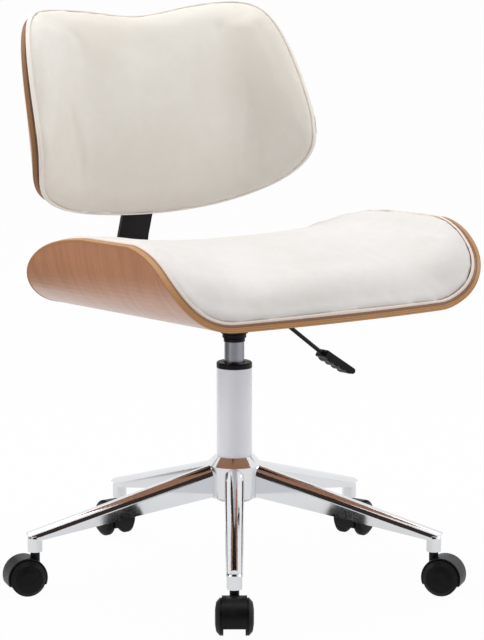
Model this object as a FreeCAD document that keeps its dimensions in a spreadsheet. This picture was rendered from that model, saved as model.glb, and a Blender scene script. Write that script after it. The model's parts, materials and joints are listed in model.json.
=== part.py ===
import FreeCAD, Part
import math
import os
import Sketcher
from FreeCAD import Placement, Rotation, Vector

# Office chair on a five-leg chromed base with twin-wheel casters. Millimetres and degrees.
# The origin is on the floor under the column, +Z is up and the chair faces -Y.

os.makedirs("parts", exist_ok=True)
doc = FreeCAD.newDocument("office_chair")

sizes = {
    # clearances
    "fit_gap": 0.02,
    "seam_gap": 0.1,
    "running_gap": 0.05,
    "soft_gap": 0.3,
    "cut_overrun": 40.0,
    # star base
    "leg_count": 5,
    "first_leg_angle": 238.2,
    "leg_circle_radius": 290.0,
    "leg_wall": 1.8,
    "leg_root_width": 27.8,
    "leg_tip_width": 22.4,
    "leg_root_top": 163.0,
    "leg_root_bottom": 119.4,
    "leg_tip_top": 89.6,
    "leg_tip_bottom": 75.0,
    "leg_end_skirt": 82.0,
    "socket_radius": 10.3,
    "socket_bottom": 59.0,
    "socket_shoulder": 78.0,
    "socket_seat_top": 80.5,
    "socket_top": 84.5,
    "socket_top_radius": 6.9,
    # hub
    "hub_radius": 38.5,
    "hub_bottom": 118.0,
    "hub_edge": 1.2,
    "hub_shoulder": 163.1,
    "hub_top_radius": 27.4,
    "hub_top": 175.7,
    # column
    "tube_radius": 25.0,
    "tube_foot_radius": 24.4,
    "tube_bore_radius": 22.9,
    "tube_bottom": 112.0,
    "tube_floor": 3.0,
    "tube_top_drop": 92.8,
    "rod_hole_radius": 6.0,
    "cap_height": 7.6,
    "cap_bore_radius": 15.2,
    "cap_chamfer": 1.2,
    "bush_length": 72.0,
    "cylinder_radius": 14.0,
    "cylinder_bore_radius": 12.0,
    "cylinder_bottom": 150.0,
    "cylinder_floor": 9.0,
    "cylinder_roof": 16.0,
    "cylinder_top_drop": 25.8,
    "cylinder_top_radius": 13.4,
    "taper_length": 18.0,
    # piston rod and the bearing under it
    "rod_radius": 5.0,
    "rod_neck_radius": 4.0,
    "rod_groove_radius": 3.2,
    "rod_foot": 106.5,
    "piston_height": 11.0,
    "piston_spare": 6.0,
    "clip_thickness": 1.2,
    "clip_radius": 8.0,
    "clip_slot": 5.0,
    "clip_clearance": 0.3,
    "race_thickness": 1.5,
    "race_radius": 15.0,
    "ball_radius": 2.0,
    "ball_circle_radius": 10.5,
    "ball_count": 10,
    "washer_thickness": 2.5,
    # socket under the seat
    "collar_height": 12.0,
    "collar_foot": 5.4,
    "collar_radius": 16.8,
    "collar_low_radius": 15.0,
    "collar_rib": 0.7,
    "taper_socket_radius": 19.5,
    "taper_socket_rise": 3.0,
    "pin_radius": 3.0,
    "pin_length": 19.4,
    "pin_rise": 6.4,
    "pin_dome": 1.4,
    # seat frame: a flat frame tilted back, its origin on the outer face of the shell
    "seat_tilt": 3.15,
    "seat_back_shift": 38.7,
    "seat_frame_height": 393.8,
    "ply": 9.5,
    "seat_flat_half": 162.0,
    "seat_bend_radius": 90.0,
    "seat_wing_angle": 83.0,
    "seat_developed_half": 326.0,
    "seat_front": 225.0,
    "seat_rear": 226.0,
    "seat_widest": 88.0,
    "seat_front_straight_half": 196.0,
    "seat_rear_straight_half": 119.0,
    "seat_front_bow": 15.6,
    "seat_front_roundness": 2.28,
    "seat_rear_roundness": 3.27,
    # seat cushion
    "cushion_inset": 1.2,
    "border": 6.5,
    "seat_crown": 86.0,
    "seat_dish": 23.0,
    "seat_dish_power": 2.9,
    "seat_fan_power": 1.47,
    "front_roll_share": 0.15,
    "front_shoulder_share": 0.7,
    "rear_roll_share": 0.2,
    "rear_shoulder_share": 0.63,
    "back_roll_share": 0.15,
    "back_shoulder_share": 0.7,
    "edge_crown": 1.6,
    # plate and housing under the seat
    "plate_length": 170.0,
    "plate_width": 170.0,
    "plate_thickness": 3.0,
    "plate_corner": 14.0,
    "seat_bolt_pitch": 140.0,
    "housing_length": 100.0,
    "housing_width": 60.0,
    "housing_wall": 2.5,
    "housing_drop": 27.0,
    "lever_slot_width": 14.0,
    # lever
    "lever_drop": 14.2,
    "lever_pivot_reach": 36.0,
    "lever_inner_reach": 6.0,
    "lever_bend_reach": 56.0,
    "lever_bend_radius": 12.0,
    "lever_slope": 38.8,
    "lever_rod_radius": 3.0,
    "lever_outer_run": 129.4,
    "lever_boss_radius": 6.5,
    "lever_boss_length": 13.0,
    "lever_pin_radius": 2.5,
    "handle_length": 54.0,
    "handle_overlap": 22.0,
    "handle_height": 11.5,
    "handle_tip_height": 9.0,
    "handle_width": 26.0,
    "handle_finger_bulge": 2.2,
    "handle_finger_count": 4,
    "handle_slope": 33.4,
    "handle_round": 1.6,
    # bolts and tee nuts
    "bolt_radius": 3.0,
    "bolt_head_radius": 5.6,
    "bolt_head_height": 3.4,
    "bolt_reach": 6.2,
    "nut_barrel_radius": 4.0,
    "nut_flange_radius": 9.0,
    "nut_flange_thickness": 1.5,
    "nut_recess": 1.7,
    "nut_barrel_length": 6.5,
    # back bar
    "bar_width": 50.0,
    "bar_thickness": 6.0,
    "bar_start": 73.0,
    "bar_bend_radius": 60.0,
    "bar_lean": 19.8,
    "bar_lean_rise": 71.2,
    "bar_lean_depth": 277.0,
    "bar_top_reach": 60.0,
    "bar_corner": 10.0,
    "bar_bolt_half_pitch": 14.0,
    "bar_front_bolt": 88.0,
    "bar_rear_bolt": 112.0,
    # backrest frame: reclined, its origin on the rear face of the shell
    "back_recline": 10.95,
    "back_depth": 256.5,
    "back_rise": 243.9,
    "back_ply": 7.5,
    "back_overhang": 6.5,
    "back_flat_half": 103.0,
    "back_bend_radius": 138.3,
    "back_developed_half": 286.1,
    "back_bottom": 106.7,
    "back_top": 151.1,
    "back_widest": 35.8,
    "back_bottom_straight_half": 11.0,
    "back_top_straight_half": 71.0,
    "back_bottom_roundness": 3.88,
    "back_top_roundness": 6.92,
    "back_taper_share": 0.229,
    "back_taper_power": 1.25,
    "back_top_dip": 15.1,
    "back_dip_half": 80.0,
    "back_bottom_bow": 44.6,
    "back_crown": 47.0,
    "back_crown_power": 5.0,
    "back_low_bolt": 14.0,
    "back_high_bolt": 36.0,
    # casters
    "wheel_radius": 25.0,
    "caster_trail": 14.5,
    "hood_outer_radius": 28.0,
    "hood_inner_radius": 25.9,
    "hood_width": 33.5,
    "hood_web": 8.0,
    "hood_skirt_height": 14.8,
    "hood_neck_radius": 6.5,
    "hood_neck_top": 58.7,
    "hood_boss_bottom": 34.0,
    "axle_boss_radius": 7.0,
    "axle_boss_length": 26.4,
    "axle_radius": 2.5,
    "axle_length": 46.0,
    "stem_radius": 5.45,
    "stem_foot_radius": 4.5,
    "stem_foot": 37.0,
    "stem_top": 82.0,
    "wheel_inner_face": 13.7,
    "wheel_rim_face": 14.6,
    "wheel_tread_edge": 19.4,
    "wheel_outer_face": 25.8,
    "wheel_cover_radius": 10.0,
    "wheel_dome_radius": 19.5,
    "wheel_dome_face": 24.2,
    "wheel_hub_radius": 7.5,
    "wheel_bore_depth": 10.2,
}

sheet = doc.addObject("Spreadsheet::Sheet", "sizes")
for row, (name, size) in enumerate(sizes.items(), 1):
    sheet.set("A%d" % row, name)
    sheet.set("B%d" % row, str(size))
    sheet.setAlias("B%d" % row, name)
doc.recompute()


# a sum of named sizes, as a number and as a formula on the sheet
def worth(terms):
    total = 0.0
    sign = 1
    for word in terms.split():
        if word in "+-":
            sign = 1 if word == "+" else -1
        elif word in sizes:
            total += sign * sheet.get(word)
            sign = 1
        else:
            total += sign * float(word)
            sign = 1
    return total


def formula(terms):
    return " ".join("sizes." + word if word in sizes else word for word in terms.split())


def tie(thing, prop, terms):
    thing.setExpression(prop, formula(terms))


def size(name):
    return float(sheet.get(name))


def originPlane(body, role):
    return [f for f in body.Origin.OriginFeatures if f.Role == role][0]


def newBody(name):
    body = doc.addObject("PartDesign::Body", name)
    body.Label = name
    return body


def sketchOn(body, role, name, offset=Placement()):
    sketch = body.newObject("Sketcher::SketchObject", name)
    sketch.AttachmentSupport = [(originPlane(body, role), "")]
    sketch.MapMode = "FlatFace"
    sketch.AttachmentOffset = offset
    return sketch


# closed outline of straight lines, each corner held at named sizes from the axes
def namedOutline(sketch, corners):
    points = [Vector(worth(a), worth(b), 0) for a, b in corners]
    count = len(points)
    for i in range(count):
        sketch.addGeometry(Part.LineSegment(points[i], points[(i + 1) % count]), False)
    for i in range(count):
        sketch.addConstraint(Sketcher.Constraint("Coincident", i, 2, (i + 1) % count, 1))
    for i, (across, up) in enumerate(corners):
        if across == "0":
            sketch.addConstraint(Sketcher.Constraint("PointOnObject", i, 1, -2))
        else:
            c = sketch.addConstraint(Sketcher.Constraint("DistanceX", -1, 1, i, 1, worth(across)))
            tie(sketch, "Constraints[%d]" % c, across)
        if up == "0":
            sketch.addConstraint(Sketcher.Constraint("PointOnObject", i, 1, -1))
        else:
            c = sketch.addConstraint(Sketcher.Constraint("DistanceY", -1, 1, i, 1, worth(up)))
            tie(sketch, "Constraints[%d]" % c, up)


# closed outline through points; an entry of two points is an arc through the first to the second
def freeOutline(sketch, start, steps):
    at = start
    for step in steps:
        if isinstance(step, tuple):
            sketch.addGeometry(Part.Arc(at, step[0], step[1]), False)
            at = step[1]
        else:
            sketch.addGeometry(Part.LineSegment(at, step), False)
            at = step


def namedCircle(sketch, across, up, radius):
    g = sketch.addGeometry(Part.Circle(Vector(across, up, 0), Vector(0, 0, 1), worth(radius)), False)
    c = sketch.addConstraint(Sketcher.Constraint("Radius", g, worth(radius)))
    tie(sketch, "Constraints[%d]" % c, radius)


# turned piece: outline of radius and height, spun about the vertical axis
def turned(name, corners):
    body = newBody(name)
    sketch = sketchOn(body, "XZ_Plane", name + "_outline")
    namedOutline(sketch, corners)
    spin = body.newObject("PartDesign::Revolution", name + "_spin")
    spin.Profile = sketch
    spin.ReferenceAxis = (sketch, ["V_Axis"])
    spin.Angle = 360
    sketch.Visibility = False
    doc.recompute()
    return body


def loft(body, sketches, name, ruled=True):
    feature = body.newObject("PartDesign::AdditiveLoft", name)
    feature.Profile = sketches[0]
    feature.Sections = sketches[1:]
    feature.Ruled = ruled
    doc.recompute()
    return feature


# a cut from a plane's sketch, up or down its normal, that must take something away
def pocket(body, sketch, name, reach=None, upward=True):
    before = body.Shape.Volume
    feature = body.newObject("PartDesign::Pocket", name)
    feature.Profile = sketch
    if reach is None:
        feature.Type = "ThroughAll"
    else:
        feature.Type = "Length"
        tie(feature, "Length", reach)
    feature.Reversed = upward
    doc.recompute()
    if body.Shape.Volume > before - 1e-6:
        raise RuntimeError(name + " cuts nothing")
    return feature


def raised(height):
    return Placement(Vector(0, 0, height), Rotation())


# plain solids whose sizes follow the sheet
def cylinder(name, radius, height, base, direction=Vector(0, 0, 1)):
    solid = doc.addObject("Part::Cylinder", name)
    tie(solid, "Radius", radius)
    tie(solid, "Height", height)
    solid.Placement = Placement(base, Rotation(Vector(0, 0, 1), direction))
    return solid


def box(name, length, width, height, corner):
    solid = doc.addObject("Part::Box", name)
    tie(solid, "Length", length)
    tie(solid, "Width", width)
    tie(solid, "Height", height)
    solid.Placement = Placement(corner, Rotation())
    return solid


def cut(name, base, tool):
    solid = doc.addObject("Part::Cut", name)
    solid.Base = base
    solid.Tool = tool
    return solid


def fuse(name, shapes):
    solid = doc.addObject("Part::MultiFuse", name)
    solid.Shapes = shapes
    solid.Refine = True
    return solid


parts = []


def finish(thing, name):
    thing.Label = name
    parts.append((name, thing))


def turnAbout(thing, name, i):
    thing.Placement = Placement(Vector(0, 0, 0), Rotation(Vector(0, 0, 1), legAngle(i)))
    tie(thing, "Placement.Rotation.Angle", "first_leg_angle + %g" % (360.0 / legCount * i))
    finish(thing, name)


legCount = int(size("leg_count"))


def legAngle(i):
    return size("first_leg_angle") + 360.0 / legCount * i


# heights of the column's pieces, which hang from the seat's frame
tubeTop = "seat_frame_height - tube_top_drop"
cylinderTop = "seat_frame_height - cylinder_top_drop"
taperBottom = cylinderTop + " - taper_length"
collarBottom = taperBottom + " - collar_height"
collarStep = collarBottom + " + collar_foot"
pinTop = cylinderTop + " + pin_rise"

# hub: a cup with a coned top, bored to the column's taper; the legs are welded to its side
hub = turned("base_hub", [
    ("tube_foot_radius + fit_gap", "hub_bottom"),
    ("hub_radius - hub_edge", "hub_bottom"),
    ("hub_radius", "hub_bottom + hub_edge"),
    ("hub_radius", "hub_shoulder"),
    ("hub_top_radius", "hub_top"),
    ("tube_radius + fit_gap", "hub_top"),
])
finish(hub, "base_hub")


# legs: pressed channels of arched section, open below, that taper and fall towards the sockets;
# each is closed at its tip by a wall over the socket
def archSection(body, name, reach, width, top, bottom):
    sketch = sketchOn(body, "YZ_Plane", name, raised(reach))
    half = width / 2
    wall = size("leg_wall")
    slant = math.sqrt(0.5)

    def arc(radius, side):
        crown = top - half
        return Vector(side * radius * slant, crown + radius * slant, 0)

    inner = half - wall
    freeOutline(sketch, Vector(-half, bottom, 0), [
        Vector(-half, top - half, 0),
        (arc(half, -1), Vector(0, top, 0)),
        (arc(half, 1), Vector(half, top - half, 0)),
        Vector(half, bottom, 0),
        Vector(inner, bottom, 0),
        Vector(inner, top - half, 0),
        (arc(inner, 1), Vector(0, top - wall, 0)),
        (arc(inner, -1), Vector(-inner, top - half, 0)),
        Vector(-inner, bottom, 0),
        Vector(-half, bottom, 0),
    ])
    return sketch


def endWallOutline(body, name, reach, width, top, bottom):
    sketch = sketchOn(body, "YZ_Plane", name, raised(reach))
    inset = size("leg_wall") / 2
    half = width / 2 - inset
    crown = top - width / 2
    slant = math.sqrt(0.5)
    freeOutline(sketch, Vector(-half, bottom, 0), [
        Vector(-half, crown, 0),
        (Vector(-half * slant, crown + half * slant, 0), Vector(0, crown + half, 0)),
        (Vector(half * slant, crown + half * slant, 0), Vector(half, crown, 0)),
        Vector(half, bottom, 0),
        Vector(-half, bottom, 0),
    ])
    return sketch


rootReach = size("hub_radius")
tipReach = size("leg_circle_radius")
legStartShare = 0.84
legStart = rootReach * legStartShare
legEnd = tipReach + size("socket_radius")


def alongLeg(rootValue, tipValue, reach):
    share = (reach - rootReach) / (tipReach - rootReach)
    return rootValue + (tipValue - rootValue) * share


for i in range(legCount):
    name = "leg_%d" % (i + 1)
    leg = newBody(name)
    ends = []
    for end, reach in (("root", legStart), ("tip", legEnd)):
        width = alongLeg(size("leg_root_width"), size("leg_tip_width"), reach)
        top = alongLeg(size("leg_root_top"), size("leg_tip_top"), reach)
        bottom = alongLeg(size("leg_root_bottom"), size("leg_tip_bottom"), reach)
        ends.append(archSection(leg, "%s_%s" % (name, end), reach, width, top, bottom))
    loft(leg, ends, name + "_channel")
    wall = leg.newObject("PartDesign::Pad", name + "_end_wall")
    wall.Profile = endWallOutline(leg, name + "_end_wall_outline", legEnd, width, top, bottom)
    tie(wall, "Length", "leg_wall")
    wall.Reversed = True
    doc.recompute()
    seatCut = sketchOn(leg, "XY_Plane", name + "_hub_outline")
    namedCircle(seatCut, 0, 0, "hub_radius + seam_gap")
    pocket(leg, seatCut, name + "_hub_cut")
    socketCut = sketchOn(leg, "XY_Plane", name + "_socket_outline")
    namedCircle(socketCut, tipReach, 0, "socket_radius + seam_gap")
    pocket(leg, socketCut, name + "_socket_cut", "socket_seat_top")
    endCut = sketchOn(leg, "XY_Plane", name + "_end_outline")
    side = size("leg_tip_width")
    freeOutline(endCut, Vector(tipReach, -side, 0), [
        Vector(legEnd + side, -side, 0),
        Vector(legEnd + side, side, 0),
        Vector(tipReach, side, 0),
        Vector(tipReach, -side, 0),
    ])
    pocket(leg, endCut, name + "_end_cut", "leg_end_skirt")
    turnAbout(leg, name, i)

# sockets at the legs' tips, bored for the casters' stems
for i in range(legCount):
    name = "leg_socket_%d" % (i + 1)
    socket = turned(name, [
        ("stem_radius + running_gap", "socket_bottom"),
        ("socket_radius", "socket_bottom"),
        ("socket_radius", "socket_shoulder"),
        ("socket_top_radius", "socket_top"),
        ("stem_radius + running_gap", "socket_top"),
    ])
    turn = math.radians(legAngle(i))
    socket.Placement = Placement(
        Vector(tipReach * math.cos(turn), tipReach * math.sin(turn), 0),
        Rotation(Vector(0, 0, 1), legAngle(i)),
    )
    angle = "(first_leg_angle + %g)" % (360.0 / legCount * i)
    angle = angle.replace("first_leg_angle", "sizes.first_leg_angle")
    socket.setExpression("Placement.Base.x", "sizes.leg_circle_radius * cos(%s * 1 deg)" % angle)
    socket.setExpression("Placement.Base.y", "sizes.leg_circle_radius * sin(%s * 1 deg)" % angle)
    finish(socket, name)

# column: outer tube with its floor, the black cap on its rim and the guide bush inside it
tube = turned("outer_tube", [
    ("rod_hole_radius", "tube_bottom"),
    ("tube_foot_radius", "tube_bottom"),
    ("tube_foot_radius", "hub_bottom"),
    ("tube_radius", "hub_top"),
    ("tube_radius", tubeTop),
    ("tube_bore_radius", tubeTop),
    ("tube_bore_radius", "tube_bottom + tube_floor"),
    ("rod_hole_radius", "tube_bottom + tube_floor"),
])
finish(tube, "outer_tube")

cap = turned("tube_cap_ring", [
    ("cap_bore_radius", tubeTop + " + fit_gap"),
    ("tube_radius", tubeTop + " + fit_gap"),
    ("tube_radius", tubeTop + " + cap_height - cap_chamfer"),
    ("tube_radius - cap_chamfer", tubeTop + " + cap_height"),
    ("cap_bore_radius", tubeTop + " + cap_height"),
])
finish(cap, "tube_cap_ring")

bush = turned("guide_bush", [
    ("cylinder_radius + running_gap", tubeTop + " - bush_length"),
    ("tube_bore_radius - fit_gap", tubeTop + " - bush_length"),
    ("tube_bore_radius - fit_gap", tubeTop),
    ("cylinder_radius + running_gap", tubeTop),
])
finish(bush, "guide_bush")

# thrust bearing on the tube's floor: a lower race and a ring of balls
raceBottom = "tube_bottom + tube_floor + fit_gap"
raceTop = raceBottom + " + race_thickness"
race = Part.makeCylinder(size("race_radius"), size("race_thickness"), Vector(0, 0, worth(raceBottom)))
race = race.cut(Part.makeCylinder(size("rod_hole_radius"), size("cut_overrun"),
                                  Vector(0, 0, worth(raceBottom) - size("race_thickness"))))
ballHeight = worth(raceTop + " + ball_radius + fit_gap")
bearingPieces = [race]
for i in range(int(size("ball_count"))):
    turn = 2 * math.pi * i / size("ball_count")
    centre = Vector(size("ball_circle_radius") * math.cos(turn),
                    size("ball_circle_radius") * math.sin(turn), ballHeight)
    bearingPieces.append(Part.makeSphere(size("ball_radius"), centre))
bearing = doc.addObject("Part::Feature", "thrust_bearing")
bearing.Shape = Part.makeCompound(bearingPieces)
finish(bearing, "thrust_bearing")

washerBottom = raceTop + " + ball_radius + ball_radius + running_gap + running_gap"
washer = turned("rod_washer", [
    ("rod_neck_radius + fit_gap", washerBottom),
    ("race_radius", washerBottom),
    ("race_radius", washerBottom + " + washer_thickness"),
    ("rod_neck_radius + fit_gap", washerBottom + " + washer_thickness"),
])
finish(washer, "rod_washer")

# piston rod: a neck through the tube's floor, grooved for its clip, and the rod above it
clipTop = "tube_bottom - clip_clearance"
rodTop = cylinderTop + " - cylinder_roof - piston_spare"
rod = turned("piston_rod", [
    ("0", "rod_foot"),
    ("rod_neck_radius", "rod_foot"),
    ("rod_neck_radius", clipTop + " - clip_thickness - fit_gap"),
    ("rod_groove_radius", clipTop + " - clip_thickness - fit_gap"),
    ("rod_groove_radius", clipTop + " + fit_gap"),
    ("rod_neck_radius", clipTop + " + fit_gap"),
    ("rod_neck_radius", washerBottom + " + washer_thickness + fit_gap"),
    ("rod_radius", washerBottom + " + washer_thickness + fit_gap"),
    ("rod_radius", rodTop),
    ("0", rodTop),
])
finish(rod, "piston_rod")

piston = turned("piston", [
    ("rod_radius + fit_gap", rodTop + " - piston_height"),
    ("cylinder_bore_radius - running_gap", rodTop + " - piston_height"),
    ("cylinder_bore_radius - running_gap", rodTop),
    ("rod_radius + fit_gap", rodTop),
])
finish(piston, "piston")

clipRing = cylinder("clip_disc", "clip_radius", "clip_thickness",
                    Vector(0, 0, worth(clipTop + " - clip_thickness")))
clipBore = cylinder("clip_bore", "rod_groove_radius + fit_gap", "cut_overrun",
                    Vector(0, 0, worth(clipTop + " - cut_overrun + clip_clearance")))
clipSlot = box("clip_slot", "clip_radius + clip_radius", "clip_slot", "cut_overrun",
               Vector(0, -size("clip_slot") / 2, worth(clipTop + " - cut_overrun + clip_clearance")))
clip = cut("rod_clip", cut("clip_ring", clipRing, clipBore), clipSlot)
finish(clip, "rod_clip")

# gas cylinder: slides in the bush, tapered at the top for the seat's socket
cylinderBody = turned("gas_cylinder", [
    ("rod_radius + running_gap", "cylinder_bottom"),
    ("cylinder_radius", "cylinder_bottom"),
    ("cylinder_radius", taperBottom),
    ("cylinder_top_radius", cylinderTop),
    ("pin_radius + running_gap", cylinderTop),
    ("pin_radius + running_gap", cylinderTop + " - cylinder_roof"),
    ("cylinder_bore_radius", cylinderTop + " - cylinder_roof"),
    ("cylinder_bore_radius", "cylinder_bottom + cylinder_floor"),
    ("rod_radius + running_gap", "cylinder_bottom + cylinder_floor"),
])
finish(cylinderBody, "gas_cylinder")

pin = turned("release_pin", [
    ("0", pinTop + " - pin_length"),
    ("pin_radius", pinTop + " - pin_length"),
    ("pin_radius", pinTop + " - pin_dome"),
    ("pin_radius - pin_dome", pinTop),
    ("0", pinTop),
])
finish(pin, "release_pin")

collarBore = "cylinder_radius + fit_gap"
collar = turned("socket_collar", [
    (collarBore, collarBottom),
    ("collar_low_radius", collarBottom),
    ("collar_low_radius", collarStep + " - collar_rib - collar_rib"),
    ("collar_low_radius - collar_rib", collarStep + " - collar_rib"),
    ("collar_low_radius", collarStep),
    ("collar_radius", collarStep),
    ("collar_radius", taperBottom + " - collar_rib - collar_rib"),
    ("collar_radius - collar_rib", taperBottom + " - collar_rib"),
    ("collar_radius", taperBottom),
    (collarBore, taperBottom),
])
finish(collar, "socket_collar")

# tapered socket around the cylinder's top
taper = turned("taper_socket", [
    ("cylinder_radius + fit_gap", taperBottom + " + fit_gap"),
    ("taper_socket_radius", taperBottom + " + fit_gap"),
    ("taper_socket_radius", cylinderTop + " + taper_socket_rise"),
    ("cylinder_top_radius + fit_gap", cylinderTop + " + taper_socket_rise"),
    ("cylinder_top_radius + fit_gap", cylinderTop),
])
finish(taper, "taper_socket")


# the seat's tilted frame: every piece fixed to the shell is built flat and placed by it
def onSeat(thing, name):
    thing.Placement = Placement(
        Vector(0, -size("seat_back_shift"), size("seat_frame_height")),
        Rotation(Vector(1, 0, 0), -size("seat_tilt")),
    )
    tie(thing, "Placement.Base.y", "- seat_back_shift")
    tie(thing, "Placement.Base.z", "seat_frame_height")
    finish(thing, name)


seatTilt = math.radians(size("seat_tilt"))


def toSeat(depth, height):
    back = depth + size("seat_back_shift")
    up = height - size("seat_frame_height")
    return (back * math.cos(seatTilt) - up * math.sin(seatTilt),
            back * math.sin(seatTilt) + up * math.cos(seatTilt))


def fromSeat(back, up):
    return (back * math.cos(seatTilt) + up * math.sin(seatTilt) - size("seat_back_shift"),
            -back * math.sin(seatTilt) + up * math.cos(seatTilt) + size("seat_frame_height"))


columnCentre = toSeat(0, worth("seat_frame_height - lever_drop"))[0]


# bent plywood: distance across the sheet gives a place on its outer face and the turn there
def bentSheet(across, flatHalf, bendRadius, limit=math.pi / 2):
    reach = abs(across)
    side = -1 if across < 0 else 1
    turn = min(max((reach - flatHalf) / bendRadius, 0), limit)
    straight = max(reach - flatHalf - bendRadius * limit, 0)
    out = min(reach, flatHalf) + bendRadius * math.sin(turn) + straight * math.cos(limit)
    rise = bendRadius * (1 - math.cos(turn)) + straight * math.sin(limit)
    return side * out, rise, side * turn


def bulge(share, roundness):
    return max(1 - min(max(share, 0), 1) ** roundness, 0) ** (1 / roundness)


def seatPlace(across):
    return bentSheet(across, size("seat_flat_half"), size("seat_bend_radius"),
                     math.radians(size("seat_wing_angle")))


# the seat's outline on the unrolled sheet: a bowed front and squared, rounded corners
def seatFrontEdge(across):
    reach = abs(across)
    straight = size("seat_front_straight_half")
    bow = size("seat_front_bow") * max(1 - (reach / straight) ** 2, 0)
    share = (reach - straight) / (size("seat_developed_half") - straight)
    depth = worth("seat_front - seat_widest") * bulge(share, size("seat_front_roundness"))
    return -size("seat_widest") - depth - bow


def seatRearEdge(across):
    reach = abs(across)
    straight = size("seat_rear_straight_half")
    share = (reach - straight) / (size("seat_developed_half") - straight)
    return -size("seat_widest") + worth("seat_rear + seat_widest") * bulge(share, size("seat_rear_roundness"))


# stations across a sheet: even over its middle, close together where the edge turns over
tipShare = 0.996


def stations(half, middle, step, tipSteps):
    places = []
    count = max(int(round(middle / step)), 2)
    for i in range(count):
        places.append(middle * i / count)
    span = half * tipShare - middle
    for i in range(tipSteps + 1):
        places.append(middle + span * math.sin(math.pi / 2 * i / tipSteps))
    return [-p for p in places[:0:-1]] + places


stationSteps = 9
tipSteps = 26
seatStations = stations(size("seat_developed_half"), size("seat_flat_half"),
                        size("seat_flat_half") / stationSteps, tipSteps)


def leaningSketch(body, name, place):
    out, rise, turn = place
    offset = Placement(Vector(0, rise, out), Rotation(Vector(1, 0, 0), -math.degrees(turn)))
    return sketchOn(body, "YZ_Plane", name, offset)


# tee nut holes: a bore for the barrel and a recess for the flange
def nutHoles(body, role, name, places, recessOffset, upward, outward):
    bores = sketchOn(body, role, name + "_bores", outward)
    for across, along in places:
        namedCircle(bores, across, along, "nut_barrel_radius + running_gap")
    pocket(body, bores, name + "_bore_cut", None, upward)
    recess = sketchOn(body, role, name + "_recesses", recessOffset)
    for across, along in places:
        namedCircle(recess, across, along, "nut_flange_radius + running_gap")
    pocket(body, recess, name + "_recess_cut", "nut_recess + nut_recess", upward)


plateCentre = columnCentre
boltHalf = size("seat_bolt_pitch") / 2
barHalf = size("bar_bolt_half_pitch")
seatBolts = [(x, plateCentre + y) for x in (-boltHalf, boltHalf) for y in (-boltHalf, boltHalf)]
barBolts = [(x, y) for x in (-barHalf, barHalf) for y in (size("bar_front_bolt"), size("bar_rear_bolt"))]

shell = newBody("seat_shell")
sketches = []
for k, across in enumerate(seatStations):
    sketch = leaningSketch(shell, "seat_shell_%02d" % k, seatPlace(across))
    front = seatFrontEdge(across)
    rear = seatRearEdge(across)
    ply = size("ply")
    freeOutline(sketch, Vector(front, 0, 0), [
        Vector(rear, 0, 0), Vector(rear, ply, 0), Vector(front, ply, 0), Vector(front, 0, 0)])
    sketches.append(sketch)
loft(shell, sketches, "seat_shell_sheet")
nutHoles(shell, "XY_Plane", "seat_nuts", seatBolts + barBolts,
         raised(worth("ply - nut_recess")), True, raised(-size("ply")))
onSeat(shell, "seat_shell")

# seat cushion: a thin border at the shell's edge, then a crown that rolls up to a shallow dish
tipOut, tipRise, tipTurn = seatPlace(size("seat_developed_half"))
tipOut -= worth("ply + border") * math.sin(tipTurn)


def seatFan(across):
    out, rise, turn = seatPlace(across)
    lift = worth("ply + soft_gap")
    baseOut = out - lift * math.sin(turn)
    baseRise = rise + lift * math.cos(turn)
    share = abs(across) / size("seat_developed_half")
    side = -1 if across < 0 else 1
    topOut = side * tipOut * share ** size("seat_fan_power")
    topRise = worth("ply + seat_crown") + size("seat_dish") * abs(topOut / tipOut) ** size("seat_dish_power")
    height = math.hypot(topOut - baseOut, topRise - baseRise)
    lean = math.atan2(topOut - baseOut, topRise - baseRise)
    return baseOut, baseRise, lean, height


# a pad's section: border, roll up to a shoulder, crown, roll down to the other border
def crownOutline(sketch, low, high, height, lowRoll, lowShoulder, highRoll, highShoulder, point):
    span = high - low
    border = size("border")
    rise = height - border
    slant = math.sqrt(0.5)
    lowReach = lowRoll * span
    highReach = highRoll * span
    freeOutline(sketch, point(low, 0), [
        point(low, border),
        (point(low + lowReach * (1 - slant), border + lowShoulder * rise * slant),
         point(low + lowReach, border + lowShoulder * rise)),
        (point((low + high) / 2, height), point(high - highReach, border + highShoulder * rise)),
        (point(high - highReach * (1 - slant), border + highShoulder * rise * slant),
         point(high, border)),
        point(high, 0),
        point(low, 0),
    ])


cushion = newBody("seat_cushion")
sketches = []
inset = size("cushion_inset")
for k, across in enumerate(seatStations):
    baseOut, baseRise, lean, height = seatFan(across)
    height = max(height, worth("border + edge_crown"))
    offset = Placement(Vector(0, baseRise, baseOut), Rotation(Vector(1, 0, 0), math.degrees(lean)))
    sketch = sketchOn(cushion, "YZ_Plane", "seat_cushion_%02d" % k, offset)
    crownOutline(sketch, seatFrontEdge(across) + inset, seatRearEdge(across) - inset, height,
                 size("front_roll_share"), size("front_shoulder_share"),
                 size("rear_roll_share"), size("rear_shoulder_share"), lambda a, b: Vector(a, b, 0))
    sketches.append(sketch)
loft(cushion, sketches, "seat_cushion_pad")
onSeat(cushion, "seat_cushion")

# plate bolted under the shell
plate = newBody("seat_plate")
sketch = sketchOn(plate, "XY_Plane", "seat_plate_outline",
                  raised(-worth("plate_thickness + fit_gap")))
halfLength = size("plate_length") / 2
halfWidth = size("plate_width") / 2
plateCorner = size("plate_corner")
arcShare = 1 - math.sqrt(0.5)


def roundedRectangle(halfX, halfY, centre, corner):
    def p(x, y):
        return Vector(x, centre + y, 0)
    k = corner * arcShare
    return p(-halfX + corner, -halfY), [
        p(halfX - corner, -halfY),
        (p(halfX - k, -halfY + k), p(halfX, -halfY + corner)),
        p(halfX, halfY - corner),
        (p(halfX - k, halfY - k), p(halfX - corner, halfY)),
        p(-halfX + corner, halfY),
        (p(-halfX + k, halfY - k), p(-halfX, halfY - corner)),
        p(-halfX, -halfY + corner),
        (p(-halfX + k, -halfY + k), p(-halfX + corner, -halfY)),
    ]


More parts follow.
